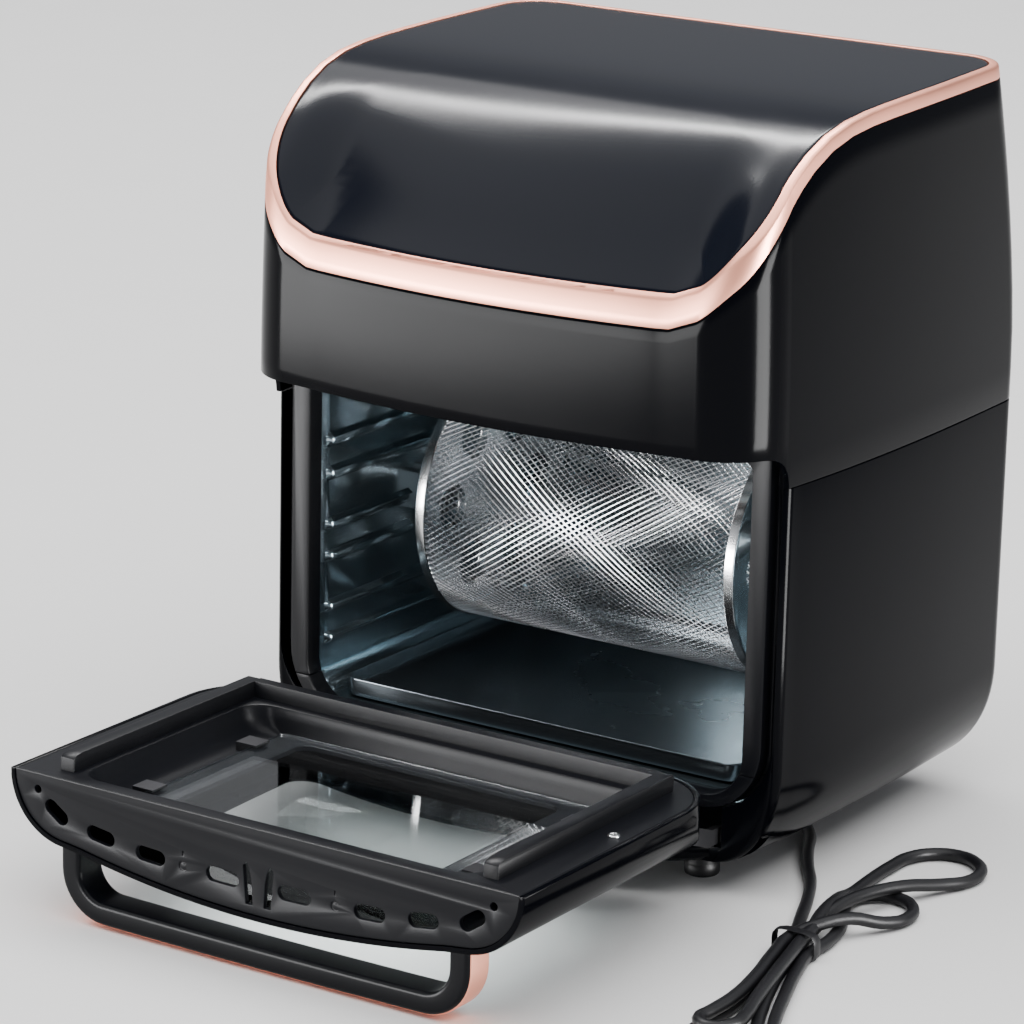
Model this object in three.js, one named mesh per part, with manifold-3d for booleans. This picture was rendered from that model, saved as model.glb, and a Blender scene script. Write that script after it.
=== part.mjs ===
// Rotisserie oven with a drop-down door, shown with the door open. Millimetres, +Z up.
// The door side faces -Y. Every shape is laid out from the front edge of the lower shell (y = 0)
// and from the surface that the feet stand on (z = 0), then moved back by originShift.
import * as THREE from "three";
import { mergeVertices } from "three/addons/utils/BufferGeometryUtils.js";
import Module from "manifold-3d";

const wasm = await Module();
wasm.setup();

// ---- driving dimensions -------------------------------------------------------------------
const originShift = -10; // the origin lies under the middle of the oven with its door open
const gap = 0.3; // kept between pieces that touch
const footHeight = 18;
const footRadius = 9.5;
const halfWidth = 160; // of the shells at their front edge
const sideBulge = 5; // the sides swell by this much towards the back
const rearPlane = 246;
const frontBulge = 51; // the fascia and the closed door stand this far in front of y = 0
const frontCorner = 38; // radius of the fascia's upright corners
const rearCorner = 16;
const topCorner = 30; // the rear corners are rounder at the top, and the back leans in there
const topLean = 13;
const wall = 3;
const seam = 226; // height of the joint between the upper and the lower shell
const fasciaFoot = 244; // underside of the fascia
const trimHeight = 7.5;
const trimDepth = 5.5;
const openingHalf = 138; // half width of the mouth of the cavity
const mouthBottom = 54;
const mouthTop = 236;
const linerFront = 12;
const linerBack = 218;
const linerHalf = 139.3;
const linerBottom = 55;
const linerTop = 262;
const linerWall = 1.2;
const drumRadius = 70;
const drumHalf = 101.5;
const drumY = 119;
const drumZ = 155;
const fanY = 112;
const hingeY = -34; // the door turns about this line, parallel to X
const hingeZ = 43.5;
const doorBottom = 48;
const doorTop = 240.5;
const doorHalf = 156.5;
const windowHalf = 82;
const windowLow = 90;
const windowHigh = 215;
const handleHalf = 126.5;
const handleZ = 229.5;
const handleWidth = 20;
const cordRadius = 3.4;

// ---- making and joining solids ------------------------------------------------------------
function solid(geometry) {
  const g = geometry.clone();
  g.deleteAttribute("normal");
  g.deleteAttribute("uv");
  const merged = mergeVertices(g, 1e-4);
  const source = new wasm.Mesh({
    numProp: 3,
    vertProperties: new Float32Array(merged.attributes.position.array),
    triVerts: new Uint32Array(merged.index.array),
  });
  return new wasm.Manifold(source);
}

function geometryOf(manifold) {
  const mesh = manifold.getMesh();
  const g = new THREE.BufferGeometry();
  g.setAttribute("position", new THREE.BufferAttribute(new Float32Array(mesh.vertProperties), 3));
  g.setIndex(new THREE.BufferAttribute(new Uint32Array(mesh.triVerts), 1));
  return g;
}

const join = (first, ...rest) => rest.reduce((all, one) => all.add(one), first);
const cut = (first, ...rest) => rest.reduce((all, one) => all.subtract(one), first);

function box(x0, x1, y0, y1, z0, z1) {
  const g = new THREE.BoxGeometry(x1 - x0, y1 - y0, z1 - z0);
  return solid(g.translate((x0 + x1) / 2, (y0 + y1) / 2, (z0 + z1) / 2));
}

// A shape drawn in X and Y, from height z0 to z1.
function alongZ(shape, z0, z1, curveSegments = 8, steps = 1) {
  const g = new THREE.ExtrudeGeometry(shape, { depth: z1 - z0, bevelEnabled: false, curveSegments, steps });
  return g.translate(0, 0, z0);
}

// A shape drawn in Y and Z, from x0 to x1.
function alongX(shape, x0, x1, curveSegments = 8, steps = 1) {
  const g = new THREE.ExtrudeGeometry(shape, { depth: x1 - x0, bevelEnabled: false, curveSegments, steps });
  const turn = new THREE.Matrix4().makeBasis(
    new THREE.Vector3(0, 1, 0),
    new THREE.Vector3(0, 0, 1),
    new THREE.Vector3(1, 0, 0),
  );
  return g.applyMatrix4(turn).translate(x0, 0, 0);
}

// A shape drawn in X and Z, from y0 back to y1.
function alongY(shape, y0, y1, curveSegments = 8) {
  const g = new THREE.ExtrudeGeometry(shape, { depth: y1 - y0, bevelEnabled: false, curveSegments });
  const turn = new THREE.Matrix4().makeBasis(
    new THREE.Vector3(1, 0, 0),
    new THREE.Vector3(0, 0, 1),
    new THREE.Vector3(0, -1, 0),
  );
  return solid(g.applyMatrix4(turn).translate(0, y1, 0));
}

function discZ(radius, x, y, z0, z1, sides = 24) {
  const g = new THREE.CylinderGeometry(radius, radius, z1 - z0, sides);
  return solid(g.rotateX(Math.PI / 2).translate(x, y, (z0 + z1) / 2));
}

function discX(radius, x0, x1, y, z, sides = 24) {
  const g = new THREE.CylinderGeometry(radius, radius, x1 - x0, sides);
  return solid(g.rotateZ(Math.PI / 2).translate((x0 + x1) / 2, y, z));
}

function discY(radius, x, y0, y1, z, sides = 16) {
  const g = new THREE.CylinderGeometry(radius, radius, y1 - y0, sides);
  return solid(g.translate(x, (y0 + y1) / 2, z));
}

// A rectangle with round corners: low is the radius of the two lower corners, high of the upper.
function panelShape(half, bottom, top, low, high = low) {
  const s = new THREE.Shape();
  s.moveTo(half, bottom + low);
  s.lineTo(half, top - high);
  if (high > 0) s.absarc(half - high, top - high, high, 0, Math.PI / 2, false);
  s.lineTo(high - half, top);
  if (high > 0) s.absarc(high - half, top - high, high, Math.PI / 2, Math.PI, false);
  s.lineTo(-half, bottom + low);
  if (low > 0) s.absarc(low - half, bottom + low, low, Math.PI, 1.5 * Math.PI, false);
  s.lineTo(half - low, bottom);
  if (low > 0) s.absarc(half - low, bottom + low, low, 1.5 * Math.PI, 2 * Math.PI, false);
  return s;
}

const root = new THREE.Group();
root.name = "rotisserie_oven";

function add(name, shape, colour, roughness = 0.5, metalness = 0) {
  const g = shape.isBufferGeometry ? shape.clone() : geometryOf(shape);
  g.translate(0, originShift, 0);
  const material = new THREE.MeshStandardMaterial({ color: colour, roughness, metalness });
  const mesh = new THREE.Mesh(g, material);
  mesh.name = name;
  root.add(mesh);
}

const black = 0x101113;
const matte = 0x2b2d30;
const rose = 0xd9a08a;
const steel = 0xb9bcc0;
const board = 0x1f5a3a;

// ---- plan outlines of the shells ----------------------------------------------------------
// Seen from above: round rear corners, swelling sides, and either the bulged fascia in front or
// a flat front edge. Inset moves the whole outline inward. Share is 0 up to the fascia and 1 at
// the very top, where the back leans in and its corners are rounder.
function plan(inset, bulged, share = 0) {
  const half = halfWidth - inset;
  const back = rearPlane - inset - topLean * share;
  const rear = rearCorner - inset + (topCorner - rearCorner) * share;
  const rearHalf = half + 0.7 * sideBulge;
  const r = (bulged ? frontCorner : 6) - inset;
  const corner = bulged ? -2 : 6;
  const s = new THREE.Shape();
  s.moveTo(half, corner);
  s.quadraticCurveTo(half + 1.9 * sideBulge, 0.4 * (back - rear), rearHalf, back - rear);
  s.absarc(rearHalf - rear, back - rear, rear, 0, Math.PI / 2, false);
  s.lineTo(rear - rearHalf, back);
  s.absarc(rear - rearHalf, back - rear, rear, Math.PI / 2, Math.PI, false);
  s.quadraticCurveTo(-half - 1.9 * sideBulge, 0.4 * (back - rear), -half, corner);
  s.absarc(r - half, corner, r, Math.PI, 1.5 * Math.PI, false);
  if (bulged) s.quadraticCurveTo(0, inset - 2 * frontBulge + frontCorner + 2, half - r, corner - r);
  else s.lineTo(half - r, corner - r);
  s.absarc(half - r, corner, r, 1.5 * Math.PI, 2 * Math.PI, false);
  return s;
}

// The upper shell narrows towards the top.
function upperBlock(inset, z0, z1) {
  const g = alongZ(plan(inset, true), z0, z1, 5, 3);
  const slim = alongZ(plan(inset, true, 1), z0, z1, 5, 3).attributes.position;
  const p = g.attributes.position;
  for (let i = 0; i < p.count; i++) {
    const up = Math.max(0, p.getZ(i) - 250) / 165;
    const share = up ** 1.6;
    const narrow = 1 - 0.034 * share;
    p.setX(i, (p.getX(i) + (slim.getX(i) - p.getX(i)) * share) * narrow);
    p.setY(i, p.getY(i) + (slim.getY(i) - p.getY(i)) * share);
  }
  return solid(g);
}

// The lower shell turns in towards its flat underside along an elliptic curve.
function lowerBlock(inset, z0, z1) {
  const g = alongZ(plan(inset, false), 0, 1, 4, 8);
  const p = g.attributes.position;
  const turnHeight = 56;
  for (let i = 0; i < p.count; i++) {
    const t = p.getZ(i);
    const angle = Math.min(1, t / 0.75) * 0.5 * Math.PI;
    const rise = t < 0.75 ? turnHeight * (1 - Math.cos(angle)) : turnHeight + (t - 0.75) * 4 * (z1 - z0 - turnHeight);
    const inward = 36 * (1 - Math.sin(angle));
    p.setX(i, p.getX(i) * (1 - inward / halfWidth));
    p.setY(i, 124 + (p.getY(i) - 124) * (1 - 0.12 * (1 - Math.sin(angle)) ** 1.5 * (p.getY(i) > 124 ? 1 : 0)));
    p.setZ(i, z0 + rise);
  }
  return solid(g);
}

// ---- the line of the trim, seen from the side ---------------------------------------------
const trimLine = new THREE.SplineCurve([
  new THREE.Vector2(262, 406),
  new THREE.Vector2(120, 403),
  new THREE.Vector2(62, 400),
  new THREE.Vector2(32, 393),
  new THREE.Vector2(8, 379),
  new THREE.Vector2(-12, 358),
  new THREE.Vector2(-32, 331),
  new THREE.Vector2(-51, 308),
  new THREE.Vector2(-66, 292),
]);

// Points of that line, moved outward by offset.
function trimPoints(offset) {
  const points = [];
  for (let i = 0; i <= 17; i++) {
    const at = trimLine.getPointAt(i / 17);
    const t = trimLine.getTangentAt(i / 17);
    points.push(new THREE.Vector2(at.x + t.y * offset, at.y - t.x * offset));
  }
  return points;
}

// Everything below the trim line moved outward by offset. Seen from in front the line stays level
// along the bulge of the fascia, so it lies further back beside the middle, up to the corners.
const stations = [-200, -144, -136, -129, -122, -115, -108, -90, -60, 60, 90, 108, 115, 122, 129, 136, 144, 200];
function below(offset) {
  const s = new THREE.Shape();
  const points = trimPoints(offset);
  s.moveTo(points[0].x, points[0].y);
  points.slice(1).forEach((q) => s.lineTo(q.x, q.y));
  s.lineTo(-90, 290);
  s.lineTo(-90, 0);
  s.lineTo(points[0].x, 0);
  const g = alongX(s, 0, 1, 1, stations.length - 1);
  const p = g.attributes.position;
  for (let i = 0; i < p.count; i++) {
    const x = stations[Math.round(p.getX(i) * (stations.length - 1))];
    const beside = THREE.MathUtils.smoothstep(Math.abs(x), 108, 144);
    const ahead = 1 - THREE.MathUtils.smoothstep(p.getY(i), -25, 30);
    p.setX(i, x);
    p.setY(i, p.getY(i) + 11 * (x / 122) ** 2 * (1 - beside) * ahead);
  }
  return solid(g);
}

// ---- upper housing: the fascia, the sides and the back above the seam ----------------------
const fasciaNotch = (foot) => {
  const s = new THREE.Shape();
  s.moveTo(-90, 200);
  s.lineTo(0, 200);
  s.lineTo(0, seam);
  s.quadraticCurveTo(-1, foot, -20, foot);
  s.lineTo(-90, foot);
  return solid(alongX(s, -200, 200));
};
const rearHole = box(-128, 128, 236, 262, 52, 384);
let upper = upperBlock(0, seam + 0.2, 425);
const upperCore = cut(upperBlock(wall, seam - 4, 430), fasciaNotch(fasciaFoot + wall));
upper = cut(upper, upperCore, fasciaNotch(fasciaFoot), rearHole);
upper = upper.intersect(below(-gap));
upper = cut(upper, box(-157, 157, -30, 14, 200, fasciaFoot - 0.1));
add("upper_housing", upper, black, 0.15);

// ---- trim ring around the top --------------------------------------------------------------
const ring = upperBlock(0, 260, 430).intersect(below(trimHeight)).subtract(below(0));
add("trim_ring", cut(ring, upperBlock(trimDepth, 240, 440)), rose, 0.35, 1);

// ---- top panel: the smooth dark cover that also carries the touch area ---------------------
const panelTop = upperBlock(trimDepth + 0.5, 250, 440).intersect(below(trimHeight - 0.5));
add("top_panel", panelTop.subtract(below(trimHeight - 4)), 0x1c2026, 0.25);

// ---- lower housing ---------------------------------------------------------------------------
const chinShape = new THREE.Shape();
chinShape.moveTo(-124, 6);
chinShape.bezierCurveTo(-116, -28, -62, -33, 0, -33);
chinShape.bezierCurveTo(62, -33, 116, -28, 124, 6);
const chinCore = new THREE.Shape();
chinCore.moveTo(-118, 8);
chinCore.bezierCurveTo(-112, -25, -60, -30, 0, -30);
chinCore.bezierCurveTo(60, -30, 112, -25, 118, 8);
const hingePocket = (side) => box(Math.min(side * 110, side * 128), Math.max(side * 110, side * 128), -46, 9, 27, 60);
let lower = lowerBlock(0, footHeight, seam - 0.2);
lower = join(lower, solid(alongZ(chinShape, footHeight, 42, 8)));
lower = cut(lower, lowerBlock(wall, footHeight + wall, seam + 8), solid(alongZ(chinCore, footHeight + wall, 39, 8)));
lower = cut(lower, alongY(panelShape(156.6, 46, 300, 44, 0), -60, 9.5, 8), rearHole);
lower = cut(lower, box(-108, 108, 22, 222, 10, 24), hingePocket(1), hingePocket(-1));
lower = cut(lower, box(-150, 150, 3.2, 12, 22, 50));
add("lower_housing", lower, black, 0.15);

// ---- base plate and feet -----------------------------------------------------------------------
let base = box(-112, 112, 18, 226, footHeight + wall + gap, footHeight + wall + gap + 1.5);
for (let i = 0; i < 8; i++) {
  const x = -70 + i * 20;
  base = cut(base, box(x - 3, x + 3, 70, 170, 10, 40));
}
add("base_plate", base, steel, 0.4, 1);
const footProfile = [
  new THREE.Vector2(0, 0),
  new THREE.Vector2(footRadius - 1.5, 0),
  new THREE.Vector2(footRadius, 1.5),
  new THREE.Vector2(footRadius, footHeight - gap),
  new THREE.Vector2(0, footHeight - gap),
];
for (const [word, x, y] of [
  ["front_left", -102, 26],
  ["front_right", 102, 26],
  ["rear_left", -98, 214],
  ["rear_right", 98, 214],
]) {
  const g = new THREE.LatheGeometry(footProfile, 20).rotateX(Math.PI / 2).translate(x, y, 0);
  add("foot_" + word, solid(g), black, 0.7);
}

// ---- rear cover with its air slots and two wall spacers -----------------------------------------
let rear = alongY(panelShape(134, 46, 390, 12), rearPlane + gap, rearPlane + 2, 4);
for (let row = 0; row < 5; row++) {
  for (const x of [-60, 0, 60]) {
    rear = cut(rear, box(x - 24, x + 24, 240, 260, 290 + row * 16, 296 + row * 16));
  }
}
for (const x of [-110, 110]) rear = join(rear, discY(7, x, rearPlane + 1, 251, 360));
add("rear_cover", cut(rear, discY(7.2, 96, 240, 260, 70)), matte, 0.7);

// ---- door jambs: upper frame and the sill piece below it ----------------------------------------
function jamb(z0, z1) {
  const face = alongY(panelShape(149.5, 46.4, 243.6, 38, 2), 0.4, linerFront - gap, 8);
  const flange = alongY(panelShape(156.2, 46.4, 243.6, 43.6, 0.5), 8.6, linerFront - gap, 8);
  const mouth = alongY(panelShape(openingHalf, mouthBottom, mouthTop, 24, 6), -20, 40, 8);
  return cut(join(face, flange), mouth).intersect(box(-170, 170, -20, 40, z0, z1));
}
let frameTop = jamb(69.2, 260);
for (const side of [-1, 1]) {
  const x = side * 153;
  frameTop = cut(frameTop, box(x - 1.8, x + 1.8, 0, 40, 78, 124));
}
add("door_jamb", cut(frameTop, box(-170, 170, -5, 0.4, 0, 300)), matte, 0.6);
add("door_sill", jamb(40, 68.8), matte, 0.6);

// ---- cavity liner with its shelf rails -------------------------------------------------------------
const inner = panelShape(linerHalf, linerBottom, linerTop, 18, 8);
const outer = panelShape(linerHalf + linerWall, linerBottom - linerWall, linerTop + linerWall, 19, 9);
const lip = panelShape(linerHalf + 8, linerBottom - 7, linerTop + 4, 22, 12);
let liner = join(alongY(outer, linerFront, linerBack + linerWall, 5), alongY(lip, linerFront, linerFront + 1.2, 5));
liner = cut(liner, alongY(inner, 0, linerBack, 5));
for (const z of [85, 103, 132, 150, 179, 198]) {
  for (const side of [-1, 1]) {
    const x0 = Math.min(side * (linerHalf - 4), side * (linerHalf + 0.5));
    const x1 = Math.max(side * (linerHalf - 4), side * (linerHalf + 0.5));
    liner = join(liner, box(x0, x1, 20, 208, z - 2.5, z + 2.5));
  }
}
for (const side of [-1, 1]) {
  const x0 = Math.min(side * (linerHalf - 5), side * linerHalf);
  liner = cut(liner, box(x0, x0 + 5, drumY - 20, drumY + 20, 128, 172));
}
liner = cut(liner, discX(5, 100, 160, drumY, drumZ, 16), discZ(7, 0, fanY, 250, 280, 16));
liner = cut(liner, discX(16.4, 130, 160, 180, 216, 20), discX(3, 130, 160, 58, 222, 10));
liner = cut(liner, discZ(4.6, -16, 195, 250, 280, 10), discZ(4.6, 16, 195, 250, 280, 10));
add("cavity_liner", liner, 0x27333a, 0.3, 0.8);

// ---- drip tray ---------------------------------------------------------------------------------------
const trayOut = panelShape(126.5, 16, 212, 10);
const trayIn = panelShape(125.3, 17.2, 210.8, 9);
let tray = solid(alongZ(trayOut, linerBottom + 1.2, 67, 4));
tray = cut(tray, solid(alongZ(trayIn, linerBottom + 2.4, 80, 4)));
add("drip_tray", tray, 0x2a3238, 0.35, 0.8);

// ---- heating element, its guard and the hot-air fan ------------------------------------------------
let guard = box(-118, 118, 24, 206, 238, 239.2);
for (let i = 0; i < 9; i++) {
  const y = 40 + i * 18;
  guard = cut(guard, box(-100, -8, y - 3.5, y + 3.5, 230, 245), box(8, 100, y - 3.5, y + 3.5, 230, 245));
}
for (const [x, y] of [[-110, 32], [110, 32], [-110, 198], [110, 198]]) guard = join(guard, discZ(4, x, y, 239, linerTop - gap, 8));
add("fan_guard", guard, steel, 0.4, 1);

const loop = [];
for (let i = 0; i <= 14; i++) {
  const a = 0.5 * Math.PI + 0.22 + (i / 14) * (2 * Math.PI - 0.44);
  loop.push(new THREE.Vector3(82 * Math.cos(a), fanY + 82 * Math.sin(a), 250));
}
loop.unshift(new THREE.Vector3(-16, 195, 274), new THREE.Vector3(-16, 195, 262));
loop.push(new THREE.Vector3(16, 195, 262), new THREE.Vector3(16, 195, 274));
loop[2].set(-20, 192, 251);
loop[loop.length - 3].set(20, 192, 251);
const ovalSection = (radius, sides) => {
  const s = new THREE.Shape();
  for (let i = 0; i < sides; i++) {
    const a = (2 * Math.PI * i) / sides;
    if (i) s.lineTo(radius * Math.cos(a), radius * Math.sin(a));
    else s.moveTo(radius, 0);
  }
  return s;
};
const tube = (points, radius, sides, steps) => {
  const path = new THREE.CatmullRomCurve3(points, false, "centripetal");
  return new THREE.ExtrudeGeometry(ovalSection(radius, sides), { steps, extrudePath: path });
};
add("heating_element", solid(tube(loop, 3.2, 6, 34)), 0x55504c, 0.5, 0.8);

function impeller(radius, z0, z1, blades, plateAt) {
  let wheel = join(discZ(radius, 0, fanY, plateAt, plateAt + 1.2, 28), discZ(9, 0, fanY, z0, z1, 16));
  for (let i = 0; i < blades; i++) {
    const g = new THREE.BoxGeometry(radius - 14, 1.4, z1 - z0).translate((radius + 8) / 2, 0, (z0 + z1) / 2);
    wheel = join(wheel, solid(g.rotateZ((2 * Math.PI * i) / blades).translate(0, fanY, 0)));
  }
  return cut(wheel, discZ(4.3, 0, fanY, z0 - 5, z1 + 5, 12));
}
add("convection_fan", impeller(58, 244, 257, 8, 255.8), steel, 0.4, 1);
add("cooling_fan", impeller(62, 318, 331, 8, 318), steel, 0.5, 1);
add("fan_shaft", discZ(4, 0, fanY, 243, 332, 12), steel, 0.3, 1);
add("fan_motor", cut(discZ(31, 0, fanY, 272, 312, 24), discZ(4.6, 0, fanY, 260, 320, 12)), 0x8a8d90, 0.5, 1);
let bridge = box(-78, 78, fanY - 22, fanY + 22, 270, 271.7);
for (const x of [-78, 76]) bridge = join(bridge, box(x, x + 2, fanY - 22, fanY + 22, linerTop + linerWall + gap, 271));
add("motor_bridge", cut(bridge, discZ(8, 0, fanY, 260, 280, 16)), steel, 0.4, 1);

// ---- rotisserie drum -------------------------------------------------------------------------------
const drumTube = cut(
  discX(drumRadius - 0.3, 0.8 - drumHalf + 1.4, drumHalf - 2.2, drumY, drumZ, 40),
  discX(drumRadius - 1.5, -120, 120, drumY, drumZ, 40),
);
add("drum_mesh", drumTube, steel, 0.35, 1);
function drumEnd(side) {
  const x = (a, b) => [Math.min(side * a, side * b), Math.max(side * a, side * b)];
  let end = discX(drumRadius + 0.6, ...x(drumHalf - 1.8, drumHalf), drumY, drumZ, 40);
  for (let i = 0; i < 6; i++) {
    const a = (i * Math.PI) / 3;
    end = cut(end, discX(13, -130, 130, drumY + 42 * Math.cos(a), drumZ + 42 * Math.sin(a), 12));
  }
  end = join(end, discX(11, ...x(drumHalf - 1.8, drumHalf + 3), drumY, drumZ, 16));
  return end;
}
add("drum_end_left", join(drumEnd(-1), discX(4, -134, -drumHalf, drumY, drumZ, 16)), steel, 0.25, 1);
const squareEnd = box(drumHalf, 122, drumY - 4, drumY + 4, drumZ - 4, drumZ + 4);
add("drum_end_right", join(drumEnd(1), squareEnd), steel, 0.25, 1);
let coupling = join(discX(9, 112, 137, drumY, drumZ, 20), discX(4, 130, 142.7, drumY, drumZ, 16));
coupling = cut(coupling, box(100, 124, drumY - 4.5, drumY + 4.5, drumZ - 4.5, drumZ + 4.5));
add("drive_coupling", coupling, steel, 0.35, 1);
let rest = box(-linerHalf + gap, -124, drumY - 11, drumY + 11, drumZ - 16, drumZ + 5);
rest = cut(rest, discX(4.5, -150, -100, drumY, drumZ, 16), box(-150, -100, drumY - 4.5, drumY + 4.5, drumZ, drumZ + 20));
add("drum_rest", rest, steel, 0.4, 1);
let motor = join(discX(25, 143, 156, drumY, drumZ, 24), box(143, 146, drumY - 34, drumY + 34, drumZ - 9, drumZ + 9));
add("rotisserie_motor", motor, 0x9a9da0, 0.5, 1);

// ---- lamp, probe, cut-out and boards -----------------------------------------------------------------
add("lamp_lens", discX(16, linerHalf - 3, linerHalf + linerWall, 180, 216, 20), 0xe8eef0, 0.1);
add("oven_lamp", discX(19, linerHalf + linerWall + gap, 152, 180, 216, 20), 0xdfdcd2, 0.5);
add("temperature_probe", discX(2.5, 112, 150, 58, 222, 10), steel, 0.3, 1);
add("thermal_cutout", discZ(9, 56, 52, linerTop + linerWall + gap, 275, 16), 0xd8d2c4, 0.6);
let power = box(-120, -40, 150, 222, 272, 273.6);
power = join(power, box(-112, -92, 158, 180, 273, 292), box(-84, -68, 190, 214, 273, 287));
power = join(power, discZ(2.5, -116, 154, 263.6, 273, 8), discZ(2.5, -44, 218, 263.6, 273, 8));
add("power_board", power, board, 0.6);
function sloped(width, thick, length, lift, shift = 0) {
  const g = new THREE.BoxGeometry(width, length, thick).translate(shift, 0, lift);
  return solid(g.rotateX(0.87).translate(0, -1, 360));
}
add("touch_module", sloped(150, 3, 46, -6), 0x0c0d0f, 0.3);
add("control_board", join(sloped(132, 1.6, 60, -14), sloped(20, 8, 14, -17, 30)), board, 0.6);

// ---- door, drawn closed and then swung down ---------------------------------------------------------
const swing = new THREE.Matrix4()
  .makeTranslation(0, hingeY, hingeZ)
  .multiply(new THREE.Matrix4().makeRotationX(Math.PI / 2))
  .multiply(new THREE.Matrix4().makeTranslation(0, -hingeY, -hingeZ));
function addDoor(name, shape, ...look) {
  add(name, geometryOf(shape).applyMatrix4(swing), ...look);
}

function doorShape(inset) {
  const half = doorHalf - inset;
  const r = frontCorner - 2 - inset;
  const s = new THREE.Shape();
  s.moveTo(half, -1.5);
  s.lineTo(-half, -1.5);
  s.absarc(r - half, -2, r, Math.PI, 1.5 * Math.PI, false);
  s.quadraticCurveTo(0, inset - 2 * frontBulge + frontCorner + 2, half - r, -2 - r);
  s.absarc(half - r, -2, r, 1.5 * Math.PI, 2 * Math.PI, false);
  return s;
}
const doorBlock = (inset, z0, z1) => solid(alongZ(doorShape(inset), z0, z1, 7));
const doorFace = (inset, y0, y1) => alongY(panelShape(doorHalf - inset, doorBottom + inset, 300, 44 - inset, 0), y0, y1, 7);

let panel = doorBlock(0, doorBottom, doorTop).intersect(doorFace(0, -80, 20));
const panelCore = join(doorBlock(wall, doorBottom, 260), box(wall - doorHalf, doorHalf - wall, -12, 10, doorBottom, 260));
panel = cut(panel, panelCore.intersect(doorFace(wall, -80, 20)));
panel = cut(panel, alongY(panelShape(90, 82, 222, 14), -80, -20, 4));
for (const side of [-1, 1]) {
  panel = cut(panel, hingePocket(side).intersect(box(-130, 130, -46, -20, 40, 52)));
  panel = cut(panel, discY(2.9, side * 121, -60, -20, handleZ, 10));
}
addDoor("door_outer_panel", panel, black, 0.15);

const pane = doorBlock(wall + gap, 78, 226).subtract(doorBlock(wall + 3.5, 70, 240));
const paneCut = alongY(panelShape(97, 78.5, 225.5, 10), -80, -20, 3);
addDoor("door_outer_glass", pane.intersect(paneCut), 0x3a4044, 0.05);

const plateHalf = doorHalf - wall - gap;
const backPlate = alongY(panelShape(plateHalf, doorBottom + wall + gap, 239.8, 40.7, 1), -4.4, -1.4, 7);
const basin = alongY(panelShape(123, 79, 231, 14), -20, -2, 4);
let frame = join(backPlate, basin);
frame = cut(frame, alongY(panelShape(120.4, 81.6, 228.4, 12), -17.4, 10, 4));
frame = cut(frame, alongY(panelShape(windowHalf, windowLow, windowHigh, 8), -40, 10, 4));
frame = join(frame, doorBlock(wall + gap, 236.8, 239.8).intersect(box(-200, 200, -90, -1.4, 200, 260)));
for (const side of [-1, 1]) {
  const x0 = Math.min(side * 125, side * 133.5);
  frame = join(frame, box(x0, x0 + 8.5, -2, 7.5, 68, 218));
  for (const x of [22, 67, 98.6]) {
    frame = cut(frame, box(side * x - 8, side * x + 8, -33, -25, 230, 245));
  }
  frame = cut(frame, box(side * 6 - 2, side * 6 + 2, -42, -20, 230, 245));
}
frame = join(frame, box(-130, 130, -2, 7.5, 68, 75));
for (let i = 0; i < 12; i++) {
  const x = -82.5 + i * 15;
  frame = cut(frame, box(x - 4, x + 4, -10, 5, 57, 61));
}
addDoor("door_inner_frame", frame, matte, 0.6);
addDoor("door_inner_glass", alongY(panelShape(99, 84, 221, 4), -17.1, -13.6, 3), 0x9fb0b4, 0.05);
for (const [word, side] of [["left", -1], ["right", 1]]) {
  for (const [level, z] of [["upper", 196], ["lower", 108]]) {
    const near = (a, b) => [Math.min(side * a, side * b), Math.max(side * a, side * b)];
    const clip = join(box(...near(99.4, 108), -17.1, -12.2, z - 6, z + 6), box(...near(95, 108), -13.3, -12.2, z - 6, z + 6));
    addDoor(`glass_clip_${level}_${word}`, clip, steel, 0.3, 1);
  }
  const eye = discX(8, ...[Math.min(side * 113, side * 120), Math.max(side * 113, side * 120)], hingeY, hingeZ, 18);
  const span = [Math.min(side * 113, side * 120), Math.max(side * 113, side * 120)];
  let lug = join(eye, box(...span, -34.3, -28, 44, 74), box(...span, -34.3, -4.7, 62, 74));
  lug = cut(lug, discX(3.4, -200, 200, hingeY, hingeZ, 16));
  addDoor(`hinge_lug_${word}`, lug, steel, 0.35, 1);
  const screw = discY(3.2, side * 145, -1.1, -0.2, 143, 12);
  addDoor(`door_screw_${word}`, screw, steel, 0.25, 1);
  const bolt = join(discY(4.4, side * 121, -34.2, -31.4, handleZ, 12), discY(2.4, side * 121, -58, -33, handleZ, 10));
  addDoor(`handle_bolt_${word}`, bolt, steel, 0.3, 1);
}

// ---- handle: a bar bent to a U, with a metal strip round its outside -----------------------------------
function barShape(outward) {
  const x = handleHalf + outward;
  const r = 26 + outward;
  const s = new THREE.Shape();
  s.moveTo(x, -20);
  s.lineTo(-x, -20);
  s.lineTo(-x, -74.4 - outward + r);
  s.absarc(r - x, -74.4 - outward + r, r, Math.PI, 1.5 * Math.PI - 0.05, false);
  s.quadraticCurveTo(0, -75.8 - outward, x - r, -74.4 - outward);
  s.absarc(x - r, -74.4 - outward + r, r, 1.5 * Math.PI + 0.05, 2 * Math.PI, false);
  return s;
}
const barBlock = (outward, width) => solid(alongZ(barShape(outward), handleZ - width / 2, handleZ + width / 2, 8));
const offDoor = solid(alongZ(doorShape(-gap), 100, 300, 7));
let grip = cut(barBlock(0, handleWidth), barBlock(-11, 60), offDoor);
for (const side of [-1, 1]) grip = cut(grip, discY(2.8, side * 121, -60, -20, handleZ, 10));
addDoor("handle_grip", grip, 0x18191b, 0.4);
const strip = cut(barBlock(1.9, handleWidth), barBlock(gap, 60), offDoor);
addDoor("handle_trim", strip, rose, 0.35, 1);

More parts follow.
